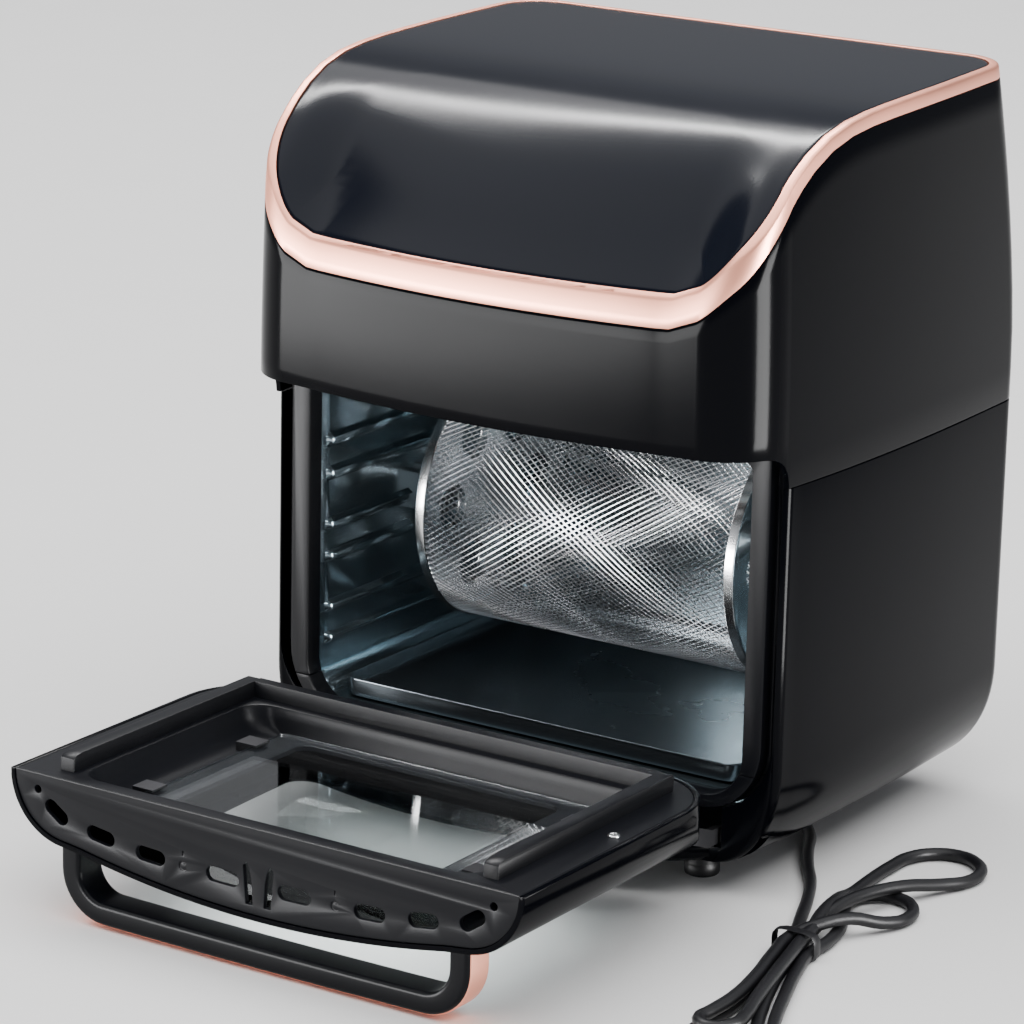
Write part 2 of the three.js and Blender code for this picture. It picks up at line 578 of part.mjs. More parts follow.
// ---- hinge brackets on the body, each with its pin -------------------------------------------------------
for (const [word, side] of [["left", -1], ["right", 1]]) {
  const near = (a, b) => [Math.min(side * a, side * b), Math.max(side * a, side * b)];
  let arm = join(
    discX(6, ...near(122, 126), hingeY, hingeZ, 16),
    solid(alongX(
      new THREE.Shape([
        new THREE.Vector2(-38, 40),
        new THREE.Vector2(-8, 29),
        new THREE.Vector2(6, 29),
        new THREE.Vector2(6, 37),
        new THREE.Vector2(-6, 38),
        new THREE.Vector2(-30, 47),
      ]),
      ...near(122, 126),
    )),
  );
  arm = join(arm, discX(3, ...near(110.5, 124), hingeY, hingeZ, 16));
  add(`hinge_bracket_${word}`, arm, steel, 0.35, 1);
}

// ---- power cord: strain relief, lead, tied bundle, tail and plug --------------------------------------
const reliefX = 96;
const reliefZ = 70;
const relief = join(discY(6.8, reliefX, 244, 256, reliefZ, 16), discY(9.5, reliefX, 252.4, 254.4, reliefZ, 16));
add("strain_relief", cut(relief, discY(3.8, reliefX, 240, 260, reliefZ, 12)), black, 0.7);

// The lead drops behind the oven, runs forward beneath it and comes out at the right side.
const floorZ = cordRadius + 0.2;
const lead = [
  new THREE.Vector3(reliefX, 256.4, reliefZ),
  new THREE.Vector3(reliefX, 272, reliefZ - 2),
  new THREE.Vector3(94, 292, 52),
  new THREE.Vector3(90, 300, 28),
  new THREE.Vector3(84, 286, 7),
  new THREE.Vector3(78, 258, floorZ),
  new THREE.Vector3(76, 200, floorZ),
  new THREE.Vector3(84, 155, floorZ),
  new THREE.Vector3(114, 115, floorZ),
  new THREE.Vector3(135, 81, floorZ),
  new THREE.Vector3(157, 42, floorZ),
  new THREE.Vector3(165, 25, floorZ),
  new THREE.Vector3(172, 18.5, floorZ),
  new THREE.Vector3(178.4, 18, floorZ),
];
add("cord_lead", solid(tube(lead, cordRadius, 8, 30)), black, 0.6);
const bundle = new THREE.Shape();
const bundleX = 205;
const bundleHalf = 26;
const bundleFront = -145;
const bundleRear = 126;
bundle.moveTo(bundleX + bundleHalf, bundleFront + bundleHalf);
bundle.lineTo(bundleX + bundleHalf, bundleRear - bundleHalf);
bundle.absarc(bundleX, bundleRear - bundleHalf, bundleHalf, 0, Math.PI, false);
bundle.lineTo(bundleX - bundleHalf, bundleFront + bundleHalf);
bundle.absarc(bundleX, bundleFront + bundleHalf, bundleHalf, Math.PI, 2 * Math.PI, false);
add("cord_bundle", solid(alongZ(bundle, 0.2, 4.4 * cordRadius, 7)), black, 0.6);
const plugX = 266;
const plugRear = -203;
const plugZ = 14.5;
const tail = [
  new THREE.Vector3(bundleX + 4, bundleFront - 0.6, 2 * cordRadius),
  new THREE.Vector3(bundleX + 12, bundleFront - 16, 5.5),
  new THREE.Vector3(bundleX + 40, bundleFront - 30, 6),
  new THREE.Vector3(plugX - 4, plugRear + 22, 10),
  new THREE.Vector3(plugX, plugRear + 7, plugZ),
  new THREE.Vector3(plugX, plugRear + 0.6, plugZ),
];
add("cord_tail", solid(tube(tail, cordRadius, 8, 8)), black, 0.6);
let plug = join(
  discY(7, plugX, plugRear - 14, plugRear, plugZ, 14),
  discY(14, plugX, plugRear - 34, plugRear - 10, plugZ, 20),
);
for (const side of [-1, 1]) {
  plug = join(plug, discY(2.3, plugX + side * 9.5, plugRear - 53, plugRear - 30, plugZ, 8));
}
add("plug", plug, black, 0.6);

export default root;
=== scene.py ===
import math

import bmesh
import bpy
import numpy as np
from mathutils import Matrix, Vector


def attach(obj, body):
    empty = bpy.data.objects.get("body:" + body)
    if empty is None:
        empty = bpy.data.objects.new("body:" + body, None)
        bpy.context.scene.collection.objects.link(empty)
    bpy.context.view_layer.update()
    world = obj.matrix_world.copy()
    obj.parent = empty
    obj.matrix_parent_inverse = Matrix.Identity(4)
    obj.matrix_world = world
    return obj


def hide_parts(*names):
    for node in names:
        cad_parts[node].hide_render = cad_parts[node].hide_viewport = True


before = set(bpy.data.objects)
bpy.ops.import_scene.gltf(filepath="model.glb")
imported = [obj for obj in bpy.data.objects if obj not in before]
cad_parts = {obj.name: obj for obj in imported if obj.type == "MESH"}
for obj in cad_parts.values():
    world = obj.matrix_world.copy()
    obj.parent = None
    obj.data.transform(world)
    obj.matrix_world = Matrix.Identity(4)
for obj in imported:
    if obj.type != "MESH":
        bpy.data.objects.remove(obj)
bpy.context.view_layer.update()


# ---- camera, light and floor ----------------------------------------------------------------
# A long lens looks down at the front right corner. A broad soft ceiling and a grey sky light a
# plain pale floor. Three smaller lamps only put their highlights on the gloss.
camera_data = bpy.data.cameras.new("camera")
camera_data.sensor_width = 36
camera_data.lens = 158.1
camera = bpy.data.objects.new("camera", camera_data)
bpy.context.scene.collection.objects.link(camera)
looking = Vector((-0.5256, 0.8055, -0.2736)).normalized()
level_right = looking.cross(Vector((0, 0, 1))).normalized()
level_up = level_right.cross(looking)
camera_right = 0.99974 * level_right + 0.02296 * level_up
camera_up = 0.99974 * level_up - 0.02296 * level_right
turn = Matrix((camera_right, camera_up, -looking)).transposed().to_4x4()
camera.matrix_world = Matrix.Translation((1.2367, -1.9146, 0.8320)) @ turn
bpy.context.scene.camera = camera

world = bpy.data.worlds.new("studio")
bpy.context.scene.world = world
world.use_nodes = True
world.node_tree.nodes["Background"].inputs["Color"].default_value = (0.93, 0.95, 1.0, 1)
world.node_tree.nodes["Background"].inputs["Strength"].default_value = 0.36


def softbox(name, place, aim, width, height, power, highlight_only=False):
    """A rectangular lamp at place that faces the point aim, in metres and watts."""
    data = bpy.data.lights.new(name, "AREA")
    data.shape = "RECTANGLE"
    data.size = width
    data.size_y = height
    data.energy = power
    lamp = bpy.data.objects.new(name, data)
    lamp.location = place
    lamp.rotation_euler = (Vector(aim) - Vector(place)).to_track_quat("-Z", "Y").to_euler()
    lamp.visible_diffuse = not highlight_only
    bpy.context.scene.collection.objects.link(lamp)
    return lamp


softbox("ceiling_lamp", (0, 0, 4), (0, 0, 0), 8, 7, 480)
softbox("crest_lamp", (-1.0, 0.62, 1.9), (0, 0.05, 0.4), 1.5, 0.12, 48, True)
softbox("fascia_lamp", (-0.62, -0.95, 0.1), (-0.02, -0.06, 0.2), 1.1, 0.5, 52, True)
softbox("corner_lamp", (0.8, -0.02, 0.1), (0.15, -0.02, 0.2), 0.26, 0.6, 25, True)

# The finish that every material shares: cloudy colour and sheen, and a fine grain.
uneven_finish = bpy.data.node_groups.new("uneven_finish", "ShaderNodeTree")
for word, kind in (
    ("Darker Colour", "NodeSocketColor"),
    ("Lighter Colour", "NodeSocketColor"),
    ("Lower Roughness", "NodeSocketFloat"),
    ("Higher Roughness", "NodeSocketFloat"),
    ("Grain Scale", "NodeSocketFloat"),
    ("Grain Strength", "NodeSocketFloat"),
):
    uneven_finish.interface.new_socket(word, in_out="INPUT", socket_type=kind)
for word, kind in (
    ("Colour", "NodeSocketColor"),
    ("Roughness", "NodeSocketFloat"),
    ("Normal", "NodeSocketVector"),
):
    uneven_finish.interface.new_socket(word, in_out="OUTPUT", socket_type=kind)
new, link = uneven_finish.nodes.new, uneven_finish.links.new
given, result = new("NodeGroupInput"), new("NodeGroupOutput")
place = new("ShaderNodeTexCoord")
cloud = new("ShaderNodeTexNoise")
cloud.inputs["Scale"].default_value = 14
cloud.inputs["Detail"].default_value = 5
link(place.outputs["Object"], cloud.inputs["Vector"])
tint = new("ShaderNodeMix")
tint.data_type = "RGBA"
link(given.outputs["Darker Colour"], tint.inputs["A"])
link(given.outputs["Lighter Colour"], tint.inputs["B"])
link(cloud.outputs["Fac"], tint.inputs["Factor"])
link(tint.outputs["Result"], result.inputs["Colour"])
sheen = new("ShaderNodeMapRange")
link(given.outputs["Lower Roughness"], sheen.inputs["To Min"])
link(given.outputs["Higher Roughness"], sheen.inputs["To Max"])
link(cloud.outputs["Fac"], sheen.inputs["Value"])
link(sheen.outputs["Result"], result.inputs["Roughness"])
fine = new("ShaderNodeTexNoise")
fine.inputs["Detail"].default_value = 3
link(place.outputs["Object"], fine.inputs["Vector"])
link(given.outputs["Grain Scale"], fine.inputs["Scale"])
bump = new("ShaderNodeBump")
bump.inputs["Distance"].default_value = 0.001
link(given.outputs["Grain Strength"], bump.inputs["Strength"])
link(fine.outputs["Fac"], bump.inputs["Height"])
link(bump.outputs["Normal"], result.inputs["Normal"])


def surface(name, colour, rough, metal=0.0, tone=0.15, grain=0.02, scale=900, gloss=0.5):
    """A material with slightly uneven colour and sheen, and a fine grain in its surface."""
    made = bpy.data.materials.new(name)
    made.use_nodes = True
    shader = made.node_tree.nodes["Principled BSDF"]
    shader.inputs["Metallic"].default_value = metal
    shader.inputs["Specular IOR Level"].default_value = gloss
    finish = made.node_tree.nodes.new("ShaderNodeGroup")
    finish.node_tree = uneven_finish
    finish.inputs["Darker Colour"].default_value = [c * (1 - tone) for c in colour] + [1]
    finish.inputs["Lighter Colour"].default_value = [min(1, c * (1 + tone)) for c in colour] + [1]
    finish.inputs["Lower Roughness"].default_value = rough * 0.8
    finish.inputs["Higher Roughness"].default_value = min(1, rough * 1.2)
    finish.inputs["Grain Scale"].default_value = scale
    finish.inputs["Grain Strength"].default_value = grain
    for word, socket in (("Colour", "Base Color"), ("Roughness", "Roughness"), ("Normal", "Normal")):
        made.node_tree.links.new(finish.outputs[word], shader.inputs[socket])
    return made


floor_paint = surface("floor_paint", (0.94, 0.932, 0.922), 0.9, tone=0.01, grain=0.0, gloss=0.1)
floor_mesh = bpy.data.meshes.new("floor")
floor_mesh.from_pydata([(-9, -9, 0), (9, -9, 0), (9, 12, 0), (-9, 12, 0)], [], [(0, 1, 2, 3)])
floor_mesh.materials.append(floor_paint)
floor = bpy.data.objects.new("floor", floor_mesh)
bpy.context.scene.collection.objects.link(floor)


# ---- power cord ------------------------------------------------------------------------------
# A black rubber mains lead of 6.8 mm. It leaves the back, runs forward on the table beneath the
# oven, and its spare length is folded into a tied bundle at the right.
ORIGIN_SHIFT = 10


def at(x, y, z):
    """Metres in the model's frame, from millimetres measured from the front edge of the lower
    shell and from the surface that the feet stand on."""
    return (x / 1000, (y - ORIGIN_SHIFT) / 1000, z / 1000)


CORD_RADIUS = 3.4
black_rubber = surface("black_rubber", (0.010, 0.010, 0.012), 0.42, grain=0.1, scale=500, gloss=0.25)
cord_route = [
    (96, 256.4, 70), (96, 265, 69.6), (95.8, 274, 67.4), (95.3, 284, 61.5), (94, 292.5, 52),
    (92.5, 298, 40), (90.3, 299, 28), (87.5, 294.5, 16), (84, 286, 7.8), (80.8, 273, 4.2),
    (78, 258, 3.6), (76, 230, 3.6), (76, 200, 3.6), (78.5, 176, 3.6), (84, 155, 3.6),
    (97, 134, 3.6), (114, 115, 3.6), (126, 99, 3.6), (135, 81, 3.6), (147, 60, 3.6), (160, 40, 3.6),
    (172, 16, 3.6), (182, -8, 3.6), (191, -30, 3.6), (196.5, -50, 3.6), (203, -80, 3.6),
    (211, -110, 3.6), (216, -140, 3.6), (215, -165, 3.6), (218, -180, 3.6), (228, -189, 3.6),
    (240, -187, 3.6), (246, -176, 3.6), (243, -160, 3.6), (232, -135, 3.6), (220, -105, 3.8),
    (210, -75, 3.9), (203.4, -50, 3.6), (199, -25, 6.0), (197.5, 0, 9.8), (201, 25, 10.4),
    (210, 50, 9.4), (219, 72, 5.5), (226.5, 90, 3.6), (226, 106, 3.6), (217, 117.5, 3.6),
    (205, 121.5, 3.6), (192.5, 116.5, 3.6), (184.5, 104, 3.6), (183, 84, 3.6), (184, 60, 3.6),
    (187, 35, 4.5), (192, 10, 9.8), (197, -14, 10.6), (203, -34, 10.4), (206.4, -50, 10.3),
    (213, -75, 10.6), (221, -105, 11.0), (229, -135, 10.6), (235, -155, 10.4), (236.5, -168, 10.6),
    (229, -177.5, 10.8), (219.5, -172, 10.8), (219, -160, 10.6), (219, -140, 10.8),
    (214, -110, 10.8), (206, -80, 10.6), (199.6, -50, 10.3), (203.5, -30, 11.0), (212, -10, 10.4),
    (222, 6, 5.4), (227, 22, 3.6), (222, 38, 3.7), (209.5, 45.5, 3.7), (196, 40, 4.4),
    (191.5, 26, 4.6), (197, 10, 3.8), (206, -10, 3.6), (210.5, -32, 3.6), (210.8, -50, 3.6),
    (218, -75, 3.8), (229, -105, 3.8), (240, -133, 3.8), (250, -155, 4.4), (258, -172, 7.2),
    (263.5, -186, 11.2), (266, -196, 14.0), (266, -203.3, 14.5),
]
cord_data = bpy.data.curves.new("cord", "CURVE")
cord_data.dimensions = "3D"
cord_data.resolution_u = 4
cord_data.bevel_depth = CORD_RADIUS / 1000
cord_data.bevel_resolution = 3
cord_data.use_fill_caps = True
spline = cord_data.splines.new("BEZIER")
spline.bezier_points.add(len(cord_route) - 1)
for i, place in enumerate(cord_route):
    knot = spline.bezier_points[i]
    knot.co = at(*place)
    knot.handle_left_type = "AUTO"
    knot.handle_right_type = "AUTO"
cord_data.materials.append(black_rubber)
cord = bpy.data.objects.new("cord", cord_data)
bpy.context.scene.collection.objects.link(cord)
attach(cord, "housing")
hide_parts("cord_lead", "cord_bundle", "cord_tail")


def solid(name, points, faces, material, body=None, stands_for=(), sharp=32):
    """A piece of closed mesh from points in millimetres, smooth but for edges over sharp degrees."""
    mesh = bpy.data.meshes.new(name)
    mesh.from_pydata([at(*p) for p in points], [], faces)
    work = bmesh.new()
    work.from_mesh(mesh)
    bmesh.ops.remove_doubles(work, verts=work.verts, dist=2e-6)
    bmesh.ops.recalc_face_normals(work, faces=work.faces)
    work.to_mesh(mesh)
    work.free()
    mesh.shade_smooth()
    mesh.set_sharp_from_angle(angle=math.radians(sharp))
    mesh.materials.append(material)
    piece = bpy.data.objects.new(name, mesh)
    bpy.context.scene.collection.objects.link(piece)
    if body:
        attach(piece, body)
        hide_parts(*stands_for)
    return piece


def skin(rings, looped=True):
    """Points and faces over closed rings that have the same number of points. looped joins the
    last ring to the first."""
    count = len(rings[0])
    points = [p for ring in rings for p in ring]
    faces = []
    for i in range(len(rings) if looped else len(rings) - 1):
        j = (i + 1) % len(rings)
        for k in range(count):
            m = (k + 1) % count
            faces.append((i * count + k, i * count + m, j * count + m, j * count + k))
    return points, faces


def arc(centre_a, centre_b, radius, start, end, count):
    """Points of an arc, with angles in degrees."""
    angles = [math.radians(start + (end - start) * i / count) for i in range(count + 1)]
    return [(centre_a + radius * math.cos(a), centre_b + radius * math.sin(a)) for a in angles]


# The tie round the bundle is a soft black strap.
tie_rings = []
for turn_at in range(24):
    angle = 2 * math.pi * turn_at / 24
    reach = 1 / (abs(math.cos(angle)) ** 4 + abs(math.sin(angle)) ** 4) ** 0.25
    ring = []
    for side, depth in arc(0, 0, 1, 0, 315, 7):
        out = 1 + 0.04 * depth
        x = 203 + 12.4 * reach * math.cos(angle) * out
        z = 7.0 + 7.6 * reach * math.sin(angle) * (1 + 0.05 * depth)
        ring.append((x, -50 + 3.2 * side, max(0.25, z)))
    tie_rings.append(ring)
cord_tie = solid("cord_tie", *skin(tie_rings), black_rubber)
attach(cord_tie, "housing")


# ---- upper housing ---------------------------------------------------------------------------
# Gloss black moulding of 3 mm: the bulged fascia, the two sides and the back above the seam. It
# is clipped and screwed to the lower shell from inside. A floor closes the fascia from below.
def capped(rings):
    """A skin over rings whose two ends are closed by a face each."""
    points, faces = skin(rings, looped=False)
    count = len(rings[0])
    faces.append(tuple(range(count)))
    faces.append(tuple(range(len(points) - 1, len(points) - count - 1, -1)))
    return points, faces


def quadratic(start, middle, end, shares):
    """Points of a curve that bends once, at the given shares of its way."""
    found = []
    for t in shares:
        a, b, c = (1 - t) ** 2, 2 * t * (1 - t), t * t
        found.append((a * start[0] + b * middle[0] + c * end[0], a * start[1] + b * middle[1] + c * end[1]))
    return found


SHELL_HALF = 160
SIDE_BULGE = 5
SHELL_BACK = 246
TOP_LEAN = 13
REAR_CORNER, TOP_CORNER = 16, 30
FASCIA_CORNER, EDGE_CORNER = 38, 6
BULGE_REACH = 62
WALL = 3
SEAM = 226
FASCIA_FOOT = 244
SIDE_SHARES = [0, 0.003, 0.006, 0.009, 0.0115, 0.02, 0.05, 0.11] + [i / 10 for i in range(2, 10)] + [0.97]


def plan(inset, bulged, share=0.0):
    """The outline of a shell seen from above, moved in by inset. share is 0 up to the fascia and 1
    at the very top, where the back leans in and its corners are rounder."""
    half, back = SHELL_HALF - inset, SHELL_BACK - inset - TOP_LEAN * share
    rear = REAR_CORNER - inset + (TOP_CORNER - REAR_CORNER) * share
    radius, corner = (FASCIA_CORNER - inset, -2) if bulged else (EDGE_CORNER - inset, EDGE_CORNER)
    far = half + 0.7 * SIDE_BULGE
    swell = (half + 1.9 * SIDE_BULGE, 0.4 * (back - rear))
    right = quadratic((half, corner), swell, (far, back - rear), SIDE_SHARES)
    right += arc(far - rear, back - rear, rear, 0, 90, 14)
    right += [(x * (far - rear), back) for x in (0.75, 0.5, 0.25)]
    left = [(-x, y) for x, y in reversed(right)]
    turn_in = arc(radius - half, corner, radius, 180, 262 if bulged else 270, 24)[1:]
    if bulged:
        ends = [(s * (half - radius - 2), corner - radius) for s in (-1, 1)]
        middle = quadratic(ends[0], (0, inset - BULGE_REACH), ends[1], [i / 30 for i in range(1, 30)])
    else:
        middle = [(x * (half - radius), corner - radius) for x in np.linspace(-0.97, 0.97, 29)]
    front = turn_in + middle + [(-x, y) for x, y in reversed(turn_in)]
    return right + [(0, back)] + left + front


def smooth_step(value, start, end):
    t = min(1, max(0, (value - start) / (end - start)))
    return t * t * (3 - 2 * t)


TRIM_LINE = [(270, 406.1), (262, 406), (120, 403), (62, 400), (32, 393), (8, 379), (-12, 358), (-32, 331)]
TRIM_LINE += [(-51, 308), (-66, 292), (-80, 276)]


def trim_height(offset):
    """Height over Y of the trim's lower line, moved outward by offset."""
    spots = []
    for i in range(1, len(TRIM_LINE) - 2):
        p0, p1, p2, p3 = (np.array(TRIM_LINE[j], float) for j in (i - 1, i, i + 1, i + 2))
        for t in np.arange(12) / 12:
            bend = (2 * p0 - 5 * p1 + 4 * p2 - p3) * t**2 + (3 * p1 - p0 - 3 * p2 + p3) * t**3
            spots.append(0.5 * (2 * p1 + (p2 - p0) * t + bend))
    spots = np.array(spots)
    for _ in range(10):
        spots[1:-1] = 0.25 * spots[:-2] + 0.5 * spots[1:-1] + 0.25 * spots[2:]
    along = np.gradient(spots, axis=0)
    along /= np.linalg.norm(along, axis=1)[:, None]
    moved = spots + offset * np.stack([along[:, 1], -along[:, 0]], axis=1)
    order = np.argsort(moved[:, 0])

    def height(x, y):
        beside = smooth_step(abs(x), 108, 144)
        ahead = 1 - smooth_step(y, -25, 30)
        back = 11 * (x / 122) ** 2 * (1 - beside) * ahead
        return float(np.interp(y - back, moved[order, 0], moved[order, 1]))

    return height


def level_of(inset, height):
    """The shell's outline at the heights that height(x, y) gives, where the shell draws in and
    leans in towards its top."""
    ring = []
    wide, slim = plan(inset, True), plan(inset, True, 1.0)
    for (x0, y0), (x1, y1) in zip(wide, slim):
        x, y = x0, y0
        for _ in range(4):
            z = height(x, y)
            share = (max(0, z - 250) / 165) ** 1.6
            x = (x0 + (x1 - x0) * share) * (1 - 0.034 * share)
            y = y0 + (y1 - y0) * share
        ring.append((x, y, z))
    return ring


def foot_of_fascia(y):
    """Height of the lower edge: the fascia's underside in front, a round step, then the seam."""
    low = SEAM + 0.2
    if y >= 0:
        return low
    if y <= -20:
        return FASCIA_FOOT
    t = (-2 + math.sqrt(4 - 4 * 18 * y)) / 36
    return FASCIA_FOOT - (FASCIA_FOOT - low) * (1 - t) ** 2


gloss_black = surface(
    "gloss_black", (0.0018, 0.0021, 0.0036), 0.14, tone=0.06, grain=0.008, scale=420, gloss=0.045
)
housing_top = trim_height(-0.3)
levels = [("low", 0, 0.7), ("low", 0.15, 0.2), ("low", 0.7, 0)]
levels += [("mid", share, 0) for share in (0.1, 0.22, 0.34, 0.46, 0.58, 0.7, 0.8, 0.9)]
levels += [("high", 0.6, 0), ("high", 0.15, 0.18), ("high", 0, 0.6), ("high", 0, 2.6), ("high", 0.4, WALL)]
levels += [("mid", 0.6, WALL), ("mid", 0.2, WALL), ("low", 0.4, WALL), ("low", 0, 2.6)]


def band_level(kind, value, low_line, high_line):
    """A height rule: value above the low line, value below the high line, or a share between."""
    def height(x, y):
        low, high = low_line(x, y), high_line(x, y)
        return {"low": low + value, "mid": low + value * (high - low), "high": high - value}[kind]
    return height


rings = []
for kind, value, inset in levels:
    rule = band_level(kind, value, lambda x, y: foot_of_fascia(y), housing_top)
    rings.append(level_of(inset, rule))
points, faces = skin(rings)
floor_outline = [(x, min(y, 0.5)) for x, y in plan(1.5, True) if y < 0.5 and abs(x) < 158]
under, under_faces = capped([[(x, y, z) for x, y in floor_outline] for z in (244.2, 246.8)])
faces += [tuple(i + len(points) for i in face) for face in under_faces]
points += under
solid("upper_shell", points, faces, gloss_black, "housing", ["upper_housing"])


# ---- trim ring -------------------------------------------------------------------------------
# A satin rose gold band, 7.5 mm high and 5.5 mm deep, between the shell and the top panel. It is
# plated plastic with a soft sheen, held by clips from below.
rose_gold = surface("rose_gold", (0.93, 0.41, 0.29), 0.42, metal=1.0, tone=0.03, grain=0.03, scale=1400)
TRIM_HEIGHT = 7.5
trim_low, trim_high = trim_height(0.15), trim_height(TRIM_HEIGHT)


def leaned(steps):
    """The band's section. In front its face leans back, so that almost no top face is left."""
    rings = []
    for kind, value, inset in steps:
        ring = level_of(inset, band_level(kind, value, trim_low, trim_high))
        if kind == "high" and inset < 3:
            moved = level_of(inset + 2.6, band_level(kind, value, trim_low, trim_high))
            ahead = [1 - smooth_step(y, -40, -18) for x, y, z in ring]
            pairs = zip(ring, moved, ahead)
            ring = [tuple(a + (b - a) * share for a, b in zip(p, q)) for p, q, share in pairs]
        rings.append(ring)
    return rings


rings = leaned([
    ("low", 0, 0.6), ("low", 0.15, 0.15), ("low", 0.6, 0), ("mid", 0.5, 0),
    ("high", 1.6, 0), ("high", 0.8, 0.2), ("high", 0.3, 0.6), ("high", 0.06, 1.2),
    ("high", 0, 2), ("high", 0, 3.6), ("high", 0, 4.8), ("high", 0.15, 5.2),
    ("high", 0.6, 5.4), ("mid", 0.5, 5.4), ("low", 0.6, 5.4), ("low", 0, 4.9),
])
solid("trim_band", *skin(rings), rose_gold, "housing", ["trim_ring"])


# ---- top panel -------------------------------------------------------------------------------
# One smooth dark cover over the top and the sloping front, set in the ring with a narrow gap. A
# touch area lies behind its front slope, unlit.
PANEL_INSET = 6
PANEL_MIDDLE = 105
slate = surface(
    "slate_panel", (0.0030, 0.0045, 0.0100), 0.17, tone=0.05, grain=0.01, scale=600, gloss=0.12
)
panel_low, panel_high = trim_height(3.5), trim_height(7.2)


def drawn_in(ring, share, height):
    """A ring shrunk towards the panel's middle, at the heights that height(x, y) gives there."""
    shrunk = [(x * share, PANEL_MIDDLE + (y - PANEL_MIDDLE) * share) for x, y, z in ring]
    return [(x, y, height(x, y)) for x, y in shrunk]


under_edge = level_of(PANEL_INSET, panel_low)
rings = [drawn_in(under_edge, share, panel_low) for share in (0.02, 0.3, 0.6, 0.85, 0.97)]
edge_levels = [(0, "low", 0), (0, "high", 0.9), (0.15, "high", 0.35), (0.5, "high", 0.08)]
edge_levels += [(1, "high", 0), (2, "high", 0)]
for further, kind, value in edge_levels:
    rings.append(level_of(PANEL_INSET + further, band_level(kind, value, panel_low, panel_high)))
border = rings[-1]
rings += [drawn_in(border, max(0.01, 1 - i / 40), panel_high) for i in range(1, 41)]
solid("top_cover", *capped(rings), slate, "housing", ["top_panel"], sharp=50)


# ---- lower housing ---------------------------------------------------------------------------
# Gloss black moulding of 3 mm that turns under in a large round at its bottom edges. Its front is
# open for the oven's mouth, and a low chin stands out below the door's hinge line.
def cutter(outline, axis, start, end):
    """A prism over an outline. axis is the direction it runs along: x, y or z."""
    place = {
        "x": lambda a, b, c: (c, a, b),
        "y": lambda a, b, c: (a, c, b),
        "z": lambda a, b, c: (a, b, c),
    }[axis]
    rings = [[place(a, b, c) for a, b in outline] for c in (start, end)]
    return solid("cutter", *capped(rings), gloss_black)


def block(x0, x1, y0, y1, z0, z1):
    """A box used to cut with."""
    return cutter([(x0, y0), (x1, y0), (x1, y1), (x0, y1)], "z", z0, z1)


def carve(piece, tools, way="DIFFERENCE"):
    """Cuts or joins the tools, which are used up, and gives the piece its final mesh."""
    for tool in tools:
        change = piece.modifiers.new("change", "BOOLEAN")
        change.operation = way
        change.solver = "EXACT"
        change.object = tool
    bpy.context.view_layer.update()
    made = bpy.data.meshes.new_from_object(piece.evaluated_get(bpy.context.evaluated_depsgraph_get()))
    piece.modifiers.clear()
    piece.data = made
    for tool in tools:
        bpy.data.objects.remove(tool)


def soften(piece, width, test=None, merge=True):
    """Rounds the piece's hard edges, or those whose middle passes the test, by width in mm. merge
    joins flat faces first, which a face with holes in it can't take."""
    work = bmesh.new()
    work.from_mesh(piece.data)
    bmesh.ops.remove_doubles(work, verts=work.verts, dist=2e-5)
    if merge:
        bmesh.ops.dissolve_limit(work, angle_limit=math.radians(0.6), verts=work.verts, edges=work.edges)
    hard = []
    for edge in work.edges:
        if len(edge.link_faces) == 2 and edge.calc_face_angle(0) > math.radians(35):
            middle = (edge.verts[0].co + edge.verts[1].co) * 500
            if test is None or test(middle.x, middle.y + ORIGIN_SHIFT, middle.z):
                hard.append(edge)
    bmesh.ops.bevel(
        work,
        geom=hard,
        offset=width / 1000,
        segments=2,
        profile=0.5,
        affect="EDGES",
        clamp_overlap=False,
    )
    bmesh.ops.recalc_face_normals(work, faces=work.faces)
    work.to_mesh(piece.data)
    work.free()
    piece.data.shade_smooth()
    piece.data.set_sharp_from_angle(angle=math.radians(32))


def round_box(half, bottom, top, low, high, fine=6):
    """A rectangle with round corners in two axes, low and high being its corner radii."""
    found = arc(half - low, bottom + low, low, -90, 0, fine)
    found += arc(half - high, top - high, high, 0, 90, fine)
    found += arc(high - half, top - high, high, 90, 180, fine)
    return found + arc(low - half, bottom + low, low, 180, 270, fine)


def turned_in(inset, angle):
    """One level of the round lower edge, angle in degrees from the flat underside."""
    share = 1 - math.sin(math.radians(angle))
    ring = []
    for x, y in plan(inset, False):
        x *= 1 - 36 * share / 160
        if y > 124:
            y = 124 + (y - 124) * (1 - 0.12 * share**1.5)
        ring.append((x, y, 18 + inset + (56 - inset) * (1 - math.cos(math.radians(angle)))))
    return ring


rings = [turned_in(0, i * 90 / 16) for i in range(17)]
for inset, z in [
    (0, 110), (0, 150), (0, 190), (0, SEAM - 0.8), (0.18, SEAM - 0.35), (0.6, SEAM - 0.2),
    (WALL - 0.4, SEAM - 0.2), (WALL, SEAM - 0.6),
]:
    rings.append([(x, y, z) for x, y in plan(inset, False)])
rings += [turned_in(WALL, i * 90 / 8) for i in range(8, -1, -1)]
lower_shell = solid("lower_shell", *capped(rings), gloss_black, "housing", ["lower_housing"])
chin_left = quadratic((-124, 6), (-112, -33), (0, -33), [i / 20 for i in range(21)])
chin_line = chin_left + [(-x, y) for x, y in reversed(chin_left[:-1])]
chin_rings = []
for share, z in [(0.93, 18), (0.975, 18.8), (1, 21), (1, 40), (0.99, 41.6), (0.96, 42)]:
    chin_rings.append([(x * share, 6 + (y - 6) * share, z) for x, y in chin_line])
carve(lower_shell, [solid("chin", *capped(chin_rings), gloss_black)], "UNION")
mouth = cutter(round_box(156.6, 46, 300, 44, 0.01, 12), "y", -60, 9.5)
hinge_pockets = [block(x, x + 18, -46, 9, 27, 60) for x in (-128, 110)]
underside = block(-108, 108, 22, 222, 10, 24)
sill_gap = block(-150, 150, 3.2, 12, 22, 50)
